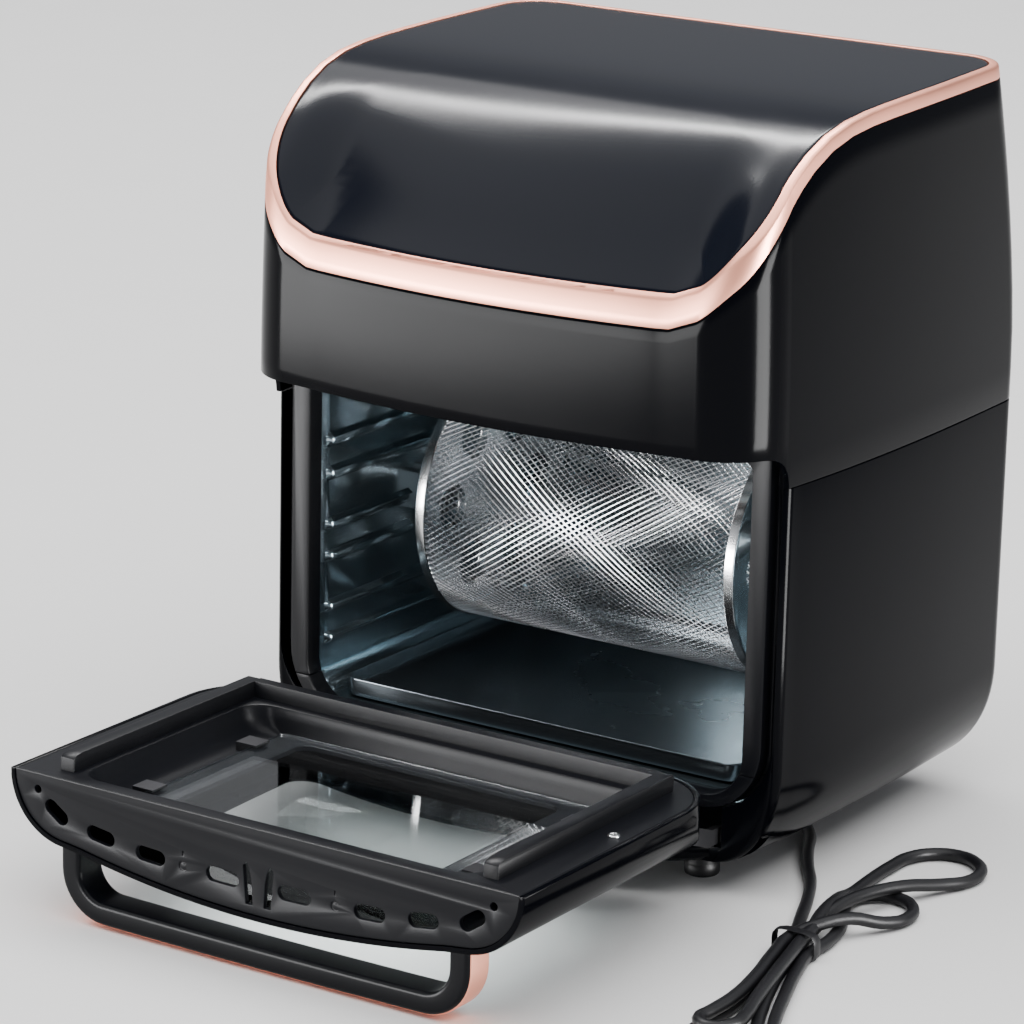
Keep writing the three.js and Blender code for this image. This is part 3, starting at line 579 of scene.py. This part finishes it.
carve(lower_shell, [mouth, underside, sill_gap] + hinge_pockets)
soften(lower_shell, 0.4, lambda x, y, z: y < 11 and z < 224)


# ---- door surround -----------------------------------------------------------------------------
# A matt dark grey moulding round the mouth that the closed door lands on, and a separate sill piece
# of the same kind below it. Both are screwed to the lower shell from inside.
matt_grey = surface(
    "matt_grey", (0.0065, 0.007, 0.0095), 0.36, tone=0.08, grain=0.03, scale=1500, gloss=0.13
)


def upright_rings(steps):
    """Round boxes that stand upright. Each step has a half width, bottom, top, the two corner
    radii and a depth."""
    return [
        [(x, y, z) for x, z in round_box(half, bottom, top, low, high, 12)]
        for half, bottom, top, low, high, y in steps
    ]


def surround(name, z0, z1, node):
    """The part of the moulding between two heights."""
    steps = [
        (138.0, 54, 236, 24, 6, 11.7), (138.0, 54, 236, 24, 6, 1.6),
        (138.5, 53.5, 236.5, 24.5, 6.5, 0.7), (139.3, 52.7, 237.3, 25, 7, 0.4),
        (148.6, 47.3, 242.7, 37, 1.5, 0.4), (149.3, 46.6, 243.4, 38, 2, 0.7),
        (149.5, 46.4, 243.6, 38, 2, 1.4), (149.5, 46.4, 243.6, 38, 2, 8.0),
        (149.9, 46.4, 243.6, 38, 2, 8.5), (155.6, 46.4, 243.6, 43, 0.5, 8.6),
        (156.2, 46.4, 243.6, 43.6, 0.5, 9.2), (156.2, 46.4, 243.6, 43.6, 0.5, 11.7),
    ]
    rings = upright_rings(steps)
    made = solid(name, *skin(rings), matt_grey, "housing", [node])
    carve(made, [block(-170, 170, -20, 40, z0, z1)], "INTERSECT")
    soften(made, 0.35, lambda x, y, z: min(abs(z - z0), abs(z - z1)) < 0.3)
    return made


jamb_piece = surround("door_surround", 69.2, 260, "door_jamb")
slot_lines = [arc(x, 122, 1.8, 0, 180, 8) + arc(x, 80, 1.8, 180, 360, 8) for x in (-153, 153)]
carve(jamb_piece, [cutter(line, "y", 0, 40) for line in slot_lines])
surround("sill_piece", 40, 68.8, "door_sill")


# ---- cavity liner ------------------------------------------------------------------------------
# A folded box of dark coated steel of 1.2 mm. Its sides have six pressed shelf rails each, and its
# front lip folds behind the door surround.
coated_steel = surface("coated_steel", (0.30, 0.38, 0.42), 0.16, metal=0.9, tone=0.1, grain=0.03, scale=700)
LINER_WALL = 1.2
RAILS = [85, 103, 132, 150, 179, 198]
rail_marks = [(-4.2, 0), (-3, 0.45), (-2, 0.9), (0, 1), (2, 0.9), (3, 0.45), (4.2, 0)]
side_points = [(z + step, size) for z in RAILS for step, size in rail_marks]


def liner_ring(grow, y, rail):
    """The liner's outline at depth y, moved outward by grow, with its rails pressed in by rail. The
    two middle rails stop where the basket's bracket stands."""
    low, high = 18 + grow, 8 + grow
    half, bottom, top = 139.3 + grow, 55 - grow, 262 + grow
    ring = arc(half - low, bottom + low, low, -90, 0, 9)
    for z, size in side_points:
        beside_bracket = abs(z - 140) <= 15 and 97 < y < 141
        ring.append((half if beside_bracket else half - rail * size, z))
    ring += arc(half - high, top - high, high, 0, 90, 5)
    ring += [(-x, z) for x, z in reversed(ring)]
    return [(x, y, z) for x, z in ring]


def back_wall(grow, y, shares):
    """Rings from the liner's rounded rear edge to near the middle of its back."""
    edge = liner_ring(grow, y, 0)
    return [edge] + [[(x * s, y, 158 + (z - 158) * s) for x, y, z in edge] for s in shares]


depths = [(13.4, 0), (18, 0), (19.5, 2.2), (22, 4), (96, 4), (97, 4), (98, 4), (140, 4), (141, 4)]
depths += [(142, 4), (205, 4), (208, 2.2), (210, 0), (216.5, 0)]
lip = [(x * 1.055, 12.2, 158.5 + (z - 158.5) * 1.06) for x, y, z in liner_ring(0, 0, 0)]
inside = [[(x, 13.2, z) for x, y, z in lip], lip, liner_ring(1.0, 12.0, 0), liner_ring(0.3, 12.2, 0)]
inside += [liner_ring(0, y, rail) for y, rail in depths] + back_wall(-1.5, 218, (0.7, 0.35, 0.02))
outside = [liner_ring(LINER_WALL, y, rail) for y, rail in depths]
outside += back_wall(-0.3, 219.2, (0.7, 0.02))
count = len(lip)
points, faces = skin(inside + outside[::-1])
split = len(inside) - 1
faces = [face for face in faces if not split * count <= face[0] < (split + 1) * count]
faces.append(tuple(range(split * count, (split + 1) * count)))
faces.append(tuple(range((split + 2) * count - 1, (split + 1) * count - 1, -1)))
solid("oven_liner", points, faces, coated_steel, "housing", ["cavity_liner"], sharp=40)

# The drip tray is a shallow pan of dark coated sheet with a rolled front edge.
dark_pan = surface("dark_pan", (0.12, 0.14, 0.155), 0.26, metal=0.8, tone=0.12, grain=0.04, scale=500)
rings = []
for grow, z in [
    (-4, 57.6), (-1.4, 58.4), (-0.7, 60), (-0.6, 66.4), (-0.3, 66.9), (0.2, 67),
    (0.5, 66.6), (0.4, 66), (0.0, 65.8), (0.0, 60), (-0.8, 57), (-3, 56.3),
]:
    corner = 10 + min(grow, 0)
    outline = round_box(126.3 + grow, 16.4 - grow, 211.6 + grow, corner, corner, 6)
    rings.append([(x, y, z) for x, y in outline])
solid("drip_pan", *capped(rings), dark_pan, "housing", ["drip_tray"], sharp=50)


# ---- rotisserie drum ---------------------------------------------------------------------------
# A steel basket of 140 mm across. Its wall is a fine diamond mesh of bright wire, welded between
# two polished end plates with holes. It rests in a forked bracket at the left, and a square stub
# at the right goes into the drive.
bright_steel = surface("bright_steel", (0.66, 0.67, 0.68), 0.2, metal=1.0, tone=0.06, grain=0.03, scale=900)
wire_steel = surface("wire_steel", (0.62, 0.63, 0.65), 0.27, metal=1.0, tone=0.1, grain=0.02, scale=2000)


def node_group(name, inputs):
    """A geometry tree with the given named inputs, and its input and output nodes."""
    tree = bpy.data.node_groups.new(name, "GeometryNodeTree")
    for word, kind in inputs:
        tree.interface.new_socket(word, in_out="INPUT", socket_type=kind)
    tree.interface.new_socket("Geometry", in_out="OUTPUT", socket_type="NodeSocketGeometry")
    return tree, tree.nodes.new("NodeGroupInput"), tree.nodes.new("NodeGroupOutput")


def grown(name, tree, values, body, stands_for):
    """The plain mesh that a geometry tree makes with the given values for its inputs."""
    holder = bpy.data.objects.new(name, bpy.data.meshes.new(name))
    bpy.context.scene.collection.objects.link(holder)
    change = holder.modifiers.new("grow", "NODES")
    change.node_group = tree
    for item in tree.interface.items_tree:
        if item.in_out == "INPUT" and item.name in values:
            change[item.identifier] = values[item.name]
    bpy.context.view_layer.update()
    made = bpy.data.meshes.new_from_object(holder.evaluated_get(bpy.context.evaluated_depsgraph_get()))
    holder.modifiers.clear()
    holder.data = made
    made.shade_smooth()
    made.set_sharp_from_angle(angle=math.radians(40))
    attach(holder, body)
    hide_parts(*stands_for)
    return holder


wire_tree, given, result = node_group("wire_mesh", [
    ("Wires", "NodeSocketInt"), ("Steps", "NodeSocketInt"), ("Radius", "NodeSocketFloat"),
    ("Half Length", "NodeSocketFloat"), ("Turn", "NodeSocketFloat"), ("Wire Radius", "NodeSocketFloat"),
    ("Centre", "NodeSocketVector"), ("Wire Material", "NodeSocketMaterial"),
])
new, link = wire_tree.nodes.new, wire_tree.links.new


def reckon(way, first, second):
    """A node that does one sum on two values, each a socket or a number."""
    node = new("ShaderNodeMath")
    node.operation = way
    for socket, value in zip(node.inputs, (first, second)):
        if isinstance(value, (int, float)):
            socket.default_value = value
        else:
            link(value, socket)
    return node.outputs[0]


both = new("GeometryNodeJoinGeometry")
for way in (1, -1):
    line = new("GeometryNodeMeshLine")
    link(given.outputs["Steps"], line.inputs["Count"])
    index = new("GeometryNodeInputIndex").outputs[0]
    share = reckon("DIVIDE", index, reckon("SUBTRACT", given.outputs["Steps"], 1))
    angle = reckon("MULTIPLY", reckon("MULTIPLY", share, given.outputs["Turn"]), way)
    from_middle = reckon("SUBTRACT", reckon("MULTIPLY", share, 2), 1)
    across = reckon("MULTIPLY", from_middle, given.outputs["Half Length"])
    spot = new("ShaderNodeCombineXYZ")
    link(across, spot.inputs[0])
    link(reckon("MULTIPLY", reckon("COSINE", angle, 0), given.outputs["Radius"]), spot.inputs[1])
    link(reckon("MULTIPLY", reckon("SINE", angle, 0), given.outputs["Radius"]), spot.inputs[2])
    bend = new("GeometryNodeSetPosition")
    link(line.outputs["Mesh"], bend.inputs["Geometry"])
    link(spot.outputs[0], bend.inputs["Position"])
    curve = new("GeometryNodeMeshToCurve")
    link(bend.outputs[0], curve.inputs["Mesh"])
    ring = new("GeometryNodeCurvePrimitiveCircle")
    ring.inputs["Resolution"].default_value = 4
    link(given.outputs["Wire Radius"], ring.inputs["Radius"])
    wire = new("GeometryNodeCurveToMesh")
    link(curve.outputs[0], wire.inputs["Curve"])
    link(ring.outputs[0], wire.inputs["Profile Curve"])
    spots = new("GeometryNodeMeshLine")
    spots.inputs["Offset"].default_value = (0, 0, 0)
    link(given.outputs["Wires"], spots.inputs["Count"])
    place = new("ShaderNodeCombineXYZ")
    full = reckon("DIVIDE", 2 * math.pi, given.outputs["Wires"])
    link(reckon("MULTIPLY", new("GeometryNodeInputIndex").outputs[0], full), place.inputs[0])
    copies = new("GeometryNodeInstanceOnPoints")
    link(spots.outputs["Mesh"], copies.inputs["Points"])
    link(wire.outputs[0], copies.inputs["Instance"])
    link(place.outputs[0], copies.inputs["Rotation"])
    link(copies.outputs[0], both.inputs[0])
moved = new("GeometryNodeTransform")
link(both.outputs[0], moved.inputs["Geometry"])
link(given.outputs["Centre"], moved.inputs["Translation"])
real = new("GeometryNodeRealizeInstances")
link(moved.outputs[0], real.inputs[0])
painted = new("GeometryNodeSetMaterial")
link(real.outputs[0], painted.inputs["Geometry"])
link(given.outputs["Wire Material"], painted.inputs["Material"])
link(painted.outputs[0], result.inputs[0])
grown("basket_mesh", wire_tree, {
    "Wires": 126, "Steps": 34, "Radius": 0.0694, "Half Length": 0.0992, "Turn": math.radians(111),
    "Wire Radius": 0.0003, "Centre": (0, 0.109, 0.155), "Wire Material": wire_steel,
}, "drum", ["drum_mesh"])


def turned(name, profile, axis, centre, material, body=None, stands_for=(), fine=64, sharp=40):
    """A round piece. profile holds places along the axis and radii there, axis is x, y or z and
    centre the two other coordinates."""
    place = {
        "x": lambda along, a, b: (along, centre[0] + a, centre[1] + b),
        "y": lambda along, a, b: (centre[0] + a, along, centre[1] + b),
        "z": lambda along, a, b: (centre[0] + a, centre[1] + b, along),
    }[axis]
    rings = []
    for along, radius in profile:
        circle = arc(0, 0, max(radius, 0.01), 0, 360, fine)[:-1]
        rings.append([place(along, a, b) for a, b in circle])
    return solid(name, *capped(rings), material, body, stands_for, sharp)


SIDES = ((-1, "left"), (1, "right"))
DRUM_CENTRE = (119, 155)
for side, word in SIDES:
    profile = [(95.4, 69.9), (95.4, 70.3), (95.8, 70.6), (100.9, 70.6), (101.5, 70.1), (101.5, 67.2)]
    profile += [(100.6, 66.2), (100.6, 12), (101, 11), (104, 10.6), (104.5, 10), (104.5, 0)]
    profile += [(99.7, 0), (99.7, 12), (99.7, 66.4), (99.9, 69.2), (99.4, 69.9)]
    profile = [(side * x, radius) for x, radius in profile]
    end = turned(f"drum_plate_{word}", profile, "x", DRUM_CENTRE, bright_steel, fine=96)
    holes = []
    for y, z in arc(*DRUM_CENTRE, 42, 0, 300, 5):
        holes.append(cutter(arc(y, z, 13, 0, 348.75, 31), "x", *sorted((side * 90, side * 110))))
    carve(end, holes)
    if side < 0:
        stub = [(-103, 4), (-133.4, 4), (-134, 3.4)]
        stub = turned("stub", stub, "x", DRUM_CENTRE, bright_steel, fine=32)
    else:
        stub = block(102, 121.6, 115, 123, 151, 159)
    carve(end, [stub], "UNION")
    soften(end, 0.3, lambda x, y, z: abs(x) > 99, merge=False)
    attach(end, "drum")
    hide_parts(f"drum_end_{word}")


# ---- feet --------------------------------------------------------------------------------------
# Four soft black rubber feet of 19 mm across, screwed to the underside of the lower shell.
foot_profile = [(0.8, 0), (0.8, 3), (0, 4), (0, 8.2), (0.5, 9.1), (1.5, 9.5), (6, 9.5)]
foot_profile += [(6.6, 9.0), (7.2, 8.8), (17.7, 8.8), (17.7, 0)]
for end_word, x, y in (("front", 102, 26), ("rear", 98, 214)):
    for side, word in SIDES:
        node = f"foot_{end_word}_{word}"
        name = f"rubber_{end_word}_{word}"
        turned(name, foot_profile, "z", (side * x, y), black_rubber, "housing", [node], fine=40)


# ---- door --------------------------------------------------------------------------------------
# The door is shaped here as when closed, then swung down. Its outer shell is a gloss black moulding
# that bulges like the fascia, with a curved pane behind its window.
HINGE_Y = -34
HINGE_Z = 43.5


def hung(piece, node):
    """Swings a piece shaped for the closed door down about the hinge to the open one. It rides on
    the door and stands for the given node."""
    middle_y, middle_z = (HINGE_Y - ORIGIN_SHIFT) / 1000, HINGE_Z / 1000
    for vertex in piece.data.vertices:
        x, y, z = vertex.co
        vertex.co = (x, middle_y + middle_z - z, middle_z - middle_y + y)
    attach(piece, "door")
    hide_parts(node)
    return piece


def painted_all(piece, material):
    """Gives the whole piece one material, whatever its cutters brought with them."""
    piece.data.materials.clear()
    piece.data.materials.append(material)
    piece.data.polygons.foreach_set("material_index", [0] * len(piece.data.polygons))


DOOR_HALF = 156.5
DOOR_BOTTOM = 48


def door_outline(inset, rear=-1.5):
    """The closed door seen from above, moved in by inset, with its back at rear."""
    half, radius = DOOR_HALF - inset, 36 - inset
    side = arc(radius - half, -2, radius, 180, 262, 20)
    ends = [(s * (half - radius - 2), -2 - radius) for s in (-1, 1)]
    front = quadratic(ends[0], (0, inset - BULGE_REACH), ends[1], [i / 32 for i in range(1, 32)])
    return [(-half, rear)] + side + front + [(-x, y) for x, y in reversed(side)] + [(half, rear)]


def door_block(inset, z0, z1, rear=-1.5, round_top=False):
    """The door's outline as a solid between two heights, with small rounds if round_top is set."""
    levels = [(0, z0), (0, z1)]
    if round_top:
        levels = [(0.9, z0), (0.25, z0 + 0.25), (0, z0 + 0.9), (0, z1 - 0.9), (0.25, z1 - 0.25), (0.9, z1)]
    rings = [[(x, y, z) for x, y in door_outline(inset + extra, rear)] for extra, z in levels]
    return solid("door_block", *capped(rings), gloss_black)


def door_face(inset):
    """The door seen from in front, with its two round lower corners, as a long prism."""
    outline = round_box(DOOR_HALF - inset, DOOR_BOTTOM + inset, 300, 44 - inset, 0.01, 16)
    return cutter(outline, "y", -80, 20)


outer = door_block(0, DOOR_BOTTOM, 240.5, round_top=True)
outer.name = "door_shell"
carve(outer, [door_face(0)], "INTERSECT")
core = door_block(WALL, 44, 244, rear=12)
carve(core, [door_face(WALL)], "INTERSECT")
carve(outer, [core, cutter(round_box(90, 82, 222, 14, 14, 10), "y", -80, -20)])
soften(outer, 0.5, lambda x, y, z: z < 236 or y > -5)
hung(outer, "door_outer_panel")

# Both panes are clear toughened glass. Light that only casts shadows goes straight through.
clear_glass = surface("clear_glass", (0.95, 0.98, 0.98), 0.02, tone=0.01, grain=0.0)
glass_nodes, glass_link = clear_glass.node_tree.nodes, clear_glass.node_tree.links.new
glass_nodes["Principled BSDF"].inputs["Transmission Weight"].default_value = 1.0
glass_nodes["Principled BSDF"].inputs["IOR"].default_value = 1.4
through = glass_nodes.new("ShaderNodeBsdfTransparent")
through.inputs["Color"].default_value = (0.93, 0.955, 0.955, 1)
ray_kind = glass_nodes.new("ShaderNodeLightPath")
mixed = glass_nodes.new("ShaderNodeMixShader")
glass_link(ray_kind.outputs["Is Shadow Ray"], mixed.inputs[0])
glass_link(glass_nodes["Principled BSDF"].outputs[0], mixed.inputs[1])
glass_link(through.outputs[0], mixed.inputs[2])
glass_link(mixed.outputs[0], glass_nodes["Material Output"].inputs["Surface"])
pane = door_block(3.3, 78, 226, rear=-2)
pane.name = "outer_pane"
carve(pane, [door_block(6.5, 70, 240, rear=-2)])
carve(pane, [cutter(round_box(97, 78.5, 225.5, 10, 10, 8), "y", -80, -20)], "INTERSECT")
painted_all(pane, clear_glass)
soften(pane, 0.3)
hung(pane, "door_outer_glass")

inner_pane = solid("inner_pane", *capped([
    [(x, y, z) for x, z in round_box(99 - cut, 84 + cut, 221 - cut, 4, 4, 6)]
    for y, cut in ((-17.1, 0.3), (-16.8, 0), (-13.9, 0), (-13.6, 0.3))
]), clear_glass)
hung(inner_pane, "door_inner_glass")

# The inner frame is a matt dark grey moulding: a flat plate with a rounded basin that slopes down to
# the window, three upright ridges that meet the oven's mouth, and a band with slots at the far edge.
steps = [
    (152.6, 51.9, 239.2, 40.2, 1, -1.4), (122.6, 79.2, 230.8, 15, 15, -1.4),
    (121.4, 80.2, 229.8, 14, 14, -1.8), (120.4, 80.9, 229.1, 13, 13, -3.2),
    (118.6, 81.5, 228.2, 13, 13, -8), (116.4, 81.9, 227.2, 12, 12, -12),
    (113.0, 82.2, 226.0, 12, 12, -15.2), (108.5, 82.6, 224.2, 10, 10, -16.9),
    (104, 82.9, 222.5, 8, 8, -17.3), (82.8, 89.2, 215.8, 8, 8, -17.3),
    (82.2, 89.8, 215.2, 8, 8, -17.6), (82, 90, 215, 8, 8, -18.4),
    (82, 90, 215, 8, 8, -19.9), (112, 81.0, 226.6, 12, 12, -19.9),
    (119.4, 79.8, 229.8, 13, 13, -16), (122.8, 79.0, 231.0, 14, 14, -9),
    (123.4, 78.8, 231.2, 14, 14, -4.4), (152.6, 51.9, 239.2, 40.2, 1, -4.4),
    (153.2, 51.3, 239.8, 40.7, 1, -3.8), (153.2, 51.3, 239.8, 40.7, 1, -2.0),
]
rings = upright_rings(steps)
inner = solid("door_lining", *skin(rings), matt_grey)
ridge_profile = [(-3, 68), (6.3, 68), (7.5, 69.2), (7.5, 221), (6.8, 226), (5.4, 228), (-3, 228.4)]
ridges = [cutter(ridge_profile, "x", x, x + 8.5) for x in (-133.5, 125)]
ridges.append(block(-126, 126, -3, 7.5, 68, 75))
carve(inner, ridges, "UNION")


def leaning_slot(x, y, half, lean):
    """A cutter for a slot with round ends, turned by lean degrees in the band."""
    c, s = math.cos(math.radians(lean)), math.sin(math.radians(lean))
    outline = arc(half, 0, 3.9, -90, 90, 8) + arc(-half, 0, 3.9, 90, 270, 8)
    return cutter([(x + a * c - b * s, y + a * s + b * c) for a, b in outline], "z", 230, 246)


band = door_block(3.3, 236.8, 239.8)
slots = []
slot_places = [(22, 6.2, -31, 1), (67, 5.4, -30, 3), (98.6, 5.0, -26.5, 8), (127, 4.2, -20, 34)]
for side in (-1, 1):
    for x, half, y, lean in slot_places:
        slots.append(leaning_slot(side * x, y, half, side * lean))
    notch = [(3.4, -42), (7.6, -42), (9.4, -22), (7.4, -20), (5.4, -23), (4.2, -29)]
    slots.append(cutter([(side * x, y) for x, y in notch], "z", 230, 246))
    hook = arc(side * 46.5, -31, 2.6, 40, 320, 10) + arc(side * 46.5, -31, 1.6, 320, 40, 10)
    tick = [(side * 46.5 + x, y) for x, y in ((-0.5, -25.5), (0.5, -25.5), (0.5, -23), (-0.5, -23))]
    slots += [cutter(hook, "z", 239.2, 246), cutter(tick, "z", 239.2, 246)]
    slots.append(cutter(arc(side * 139, -10, 2.2, 0, 330, 11), "z", 230, 246))
carve(band, slots)
carve(inner, [band], "UNION")
VENT_PITCH, VENT_WIDTH = 15, 8
vent_starts = [-86.5 + i * VENT_PITCH for i in range(12)]
carve(inner, [block(x, x + VENT_WIDTH, -3, 5, 57, 61) for x in vent_starts])
soften(inner, 0.3, lambda x, y, z: (y > -1.2 or z > 232) and abs(x) < 151, merge=False)
painted_all(inner, matt_grey)
hung(inner, "door_inner_frame")

# Two steel screws with a cross recess hold the lining at its sides.
head_profile = [(-1.3, 3.2), (-0.8, 3.2), (-0.4, 2.9), (-0.2, 2.2), (-0.15, 0)]
for side, word in SIDES:
    x, z = side * 145, 143
    head = turned(f"lining_screw_{word}", head_profile, "y", (x, z), bright_steel, fine=32)
    recess = [block(x - a, x + a, -0.9, 1, z - b, z + b) for a, b in ((0.4, 1.9), (1.9, 0.4))]
    carve(head, recess)
    hung(head, f"door_screw_{word}")


# ---- handle ------------------------------------------------------------------------------------
# A satin black plastic bar bent to a U, bolted through the door's shell from inside, with a rose
# gold strip set round its outer face.
satin_black = surface(
    "satin_black", (0.0035, 0.004, 0.0058), 0.33, tone=0.06, grain=0.02, scale=1300, gloss=0.11
)
BAR_CORNER = 26
BAR_HALF = 124.2


def u_line():
    """Places and outward directions along the bar, from its right end to its left end."""
    half = [((BAR_HALF, y), (1, 0)) for y in (-37.6, -40, -44, -48.4)]
    for i in range(1, 13):
        a = math.radians(i * 87 / 12)
        x, y = BAR_HALF - BAR_CORNER + BAR_CORNER * math.cos(a), -48.4 - BAR_CORNER * math.sin(a)
        half.append(((x, y), (math.cos(a), -math.sin(a))))
    half += [((x, -75.1 + 0.7 * (x / 100.5) ** 2), (0.014 * x / 100.5, -1)) for x in (95, 80, 60, 40, 20)]
    return half + [((0, -75.1), (0, -1))] + [((-x, y), (-a, b)) for (x, y), (a, b) in reversed(half)]


def swept(name, inner_edge, outer_edge, width, radius, material):
    """A bar along the U line whose section is a rectangle with round corners."""
    outline = round_box(width / 2, inner_edge, outer_edge, radius, radius, 4)
    rings = []
    for (x, y), (a, b) in u_line():
        rings.append([(x + a * out, y + b * out, 229.5 + across) for across, out in outline])
    return solid(name, *capped(rings), material)


hung(swept("grip_bar", -11, 0.6, 20, 2.6, satin_black), "handle_grip")
hung(swept("grip_strip", -0.6, 1.2, 15.6, 0.7, rose_gold), "handle_trim")


# ---- strain relief and plug --------------------------------------------------------------------
# A tapered ribbed boot of black rubber holds the cord where it leaves the back. The plug is a
# moulded round body with two pins.
boot = [(244, 0), (244, 6.6), (252.2, 6.8), (252.4, 9.3), (254.4, 9.3), (254.6, 7.2)]
for i in range(6):
    rib, groove = 7.0 - i * 0.45, 5.4 - i * 0.25
    y = 255.4 + i * 3.4
    boot += [(y, rib), (y + 2, rib - 0.1), (y + 2.2, groove), (y + 3.2, groove - 0.1)]
boot += [(277, 4.2), (278, 3.9), (278, 0)]
turned("cord_boot", boot, "y", (96, 70), black_rubber, "housing", ["strain_relief"], fine=32)
PLUG_X, PLUG_Z = 266, 14.5
body = [(-201.5, 0), (-201.5, 4.6), (-204, 6.6), (-212, 7.4), (-214, 10), (-217, 13.2), (-220, 14)]
body += [(-233, 14), (-235, 13.6), (-236.6, 12.4), (-237, 11), (-237, 0)]
turned("plug_body", body, "y", (PLUG_X, PLUG_Z), black_rubber, "housing", ["plug"], fine=40)
pin_profile = [(-236, 2.3), (-253, 2.3), (-255.4, 1.6), (-256, 0.6)]
for side, word in SIDES:
    spot = (PLUG_X + side * 9.5, PLUG_Z)
    pin = turned(f"plug_pin_{word}", pin_profile, "y", spot, bright_steel, fine=20)
    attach(pin, "housing")


# ---- pieces kept in the shape they have --------------------------------------------------------
# The fans, motors, boards, brackets and small fittings inside, and the rear cover. Most are folded
# or stamped steel; the motors are painted and the boards are coated glass fibre.
plain_steel = surface("plain_steel", (0.50, 0.51, 0.52), 0.34, metal=1.0, tone=0.12, grain=0.06, scale=700)
dark_fitting = surface("dark_fitting", (0.07, 0.07, 0.075), 0.4, metal=1.0, tone=0.1, grain=0.05, scale=700)
dark_heater = surface("dark_heater", (0.16, 0.145, 0.13), 0.5, metal=0.8, tone=0.25, grain=0.1, scale=300)
motor_paint = surface("motor_paint", (0.32, 0.33, 0.35), 0.45, metal=0.2, tone=0.1, grain=0.05, scale=800)
matt_black = surface("matt_black", (0.020, 0.020, 0.022), 0.6, tone=0.12, grain=0.15, scale=600, gloss=0.3)
board_green = surface("board_green", (0.02, 0.11, 0.05), 0.4, tone=0.3, grain=0.1, scale=250)
dark_touch = surface("dark_touch", (0.012, 0.013, 0.016), 0.2, tone=0.1, grain=0.02)
lamp_ceramic = surface("lamp_ceramic", (0.62, 0.60, 0.55), 0.55, tone=0.06, grain=0.1, scale=500)
KEPT = {
    plain_steel: "base_plate fan_guard motor_bridge drum_rest temperature_probe handle_bolt_left "
    "handle_bolt_right drive_coupling fan_shaft convection_fan cooling_fan",
    dark_fitting: "hinge_bracket_left hinge_bracket_right hinge_lug_left hinge_lug_right "
    "glass_clip_upper_left glass_clip_lower_left glass_clip_upper_right glass_clip_lower_right",
    dark_heater: "heating_element",
    motor_paint: "fan_motor rotisserie_motor",
    clear_glass: "lamp_lens",
    lamp_ceramic: "oven_lamp thermal_cutout",
    board_green: "power_board control_board",
    dark_touch: "touch_module",
    matt_black: "rear_cover",
}
for material, names in KEPT.items():
    for name in names.split():
        kept = bpy.data.objects[name]
        kept.data.materials.clear()
        kept.data.materials.append(material)
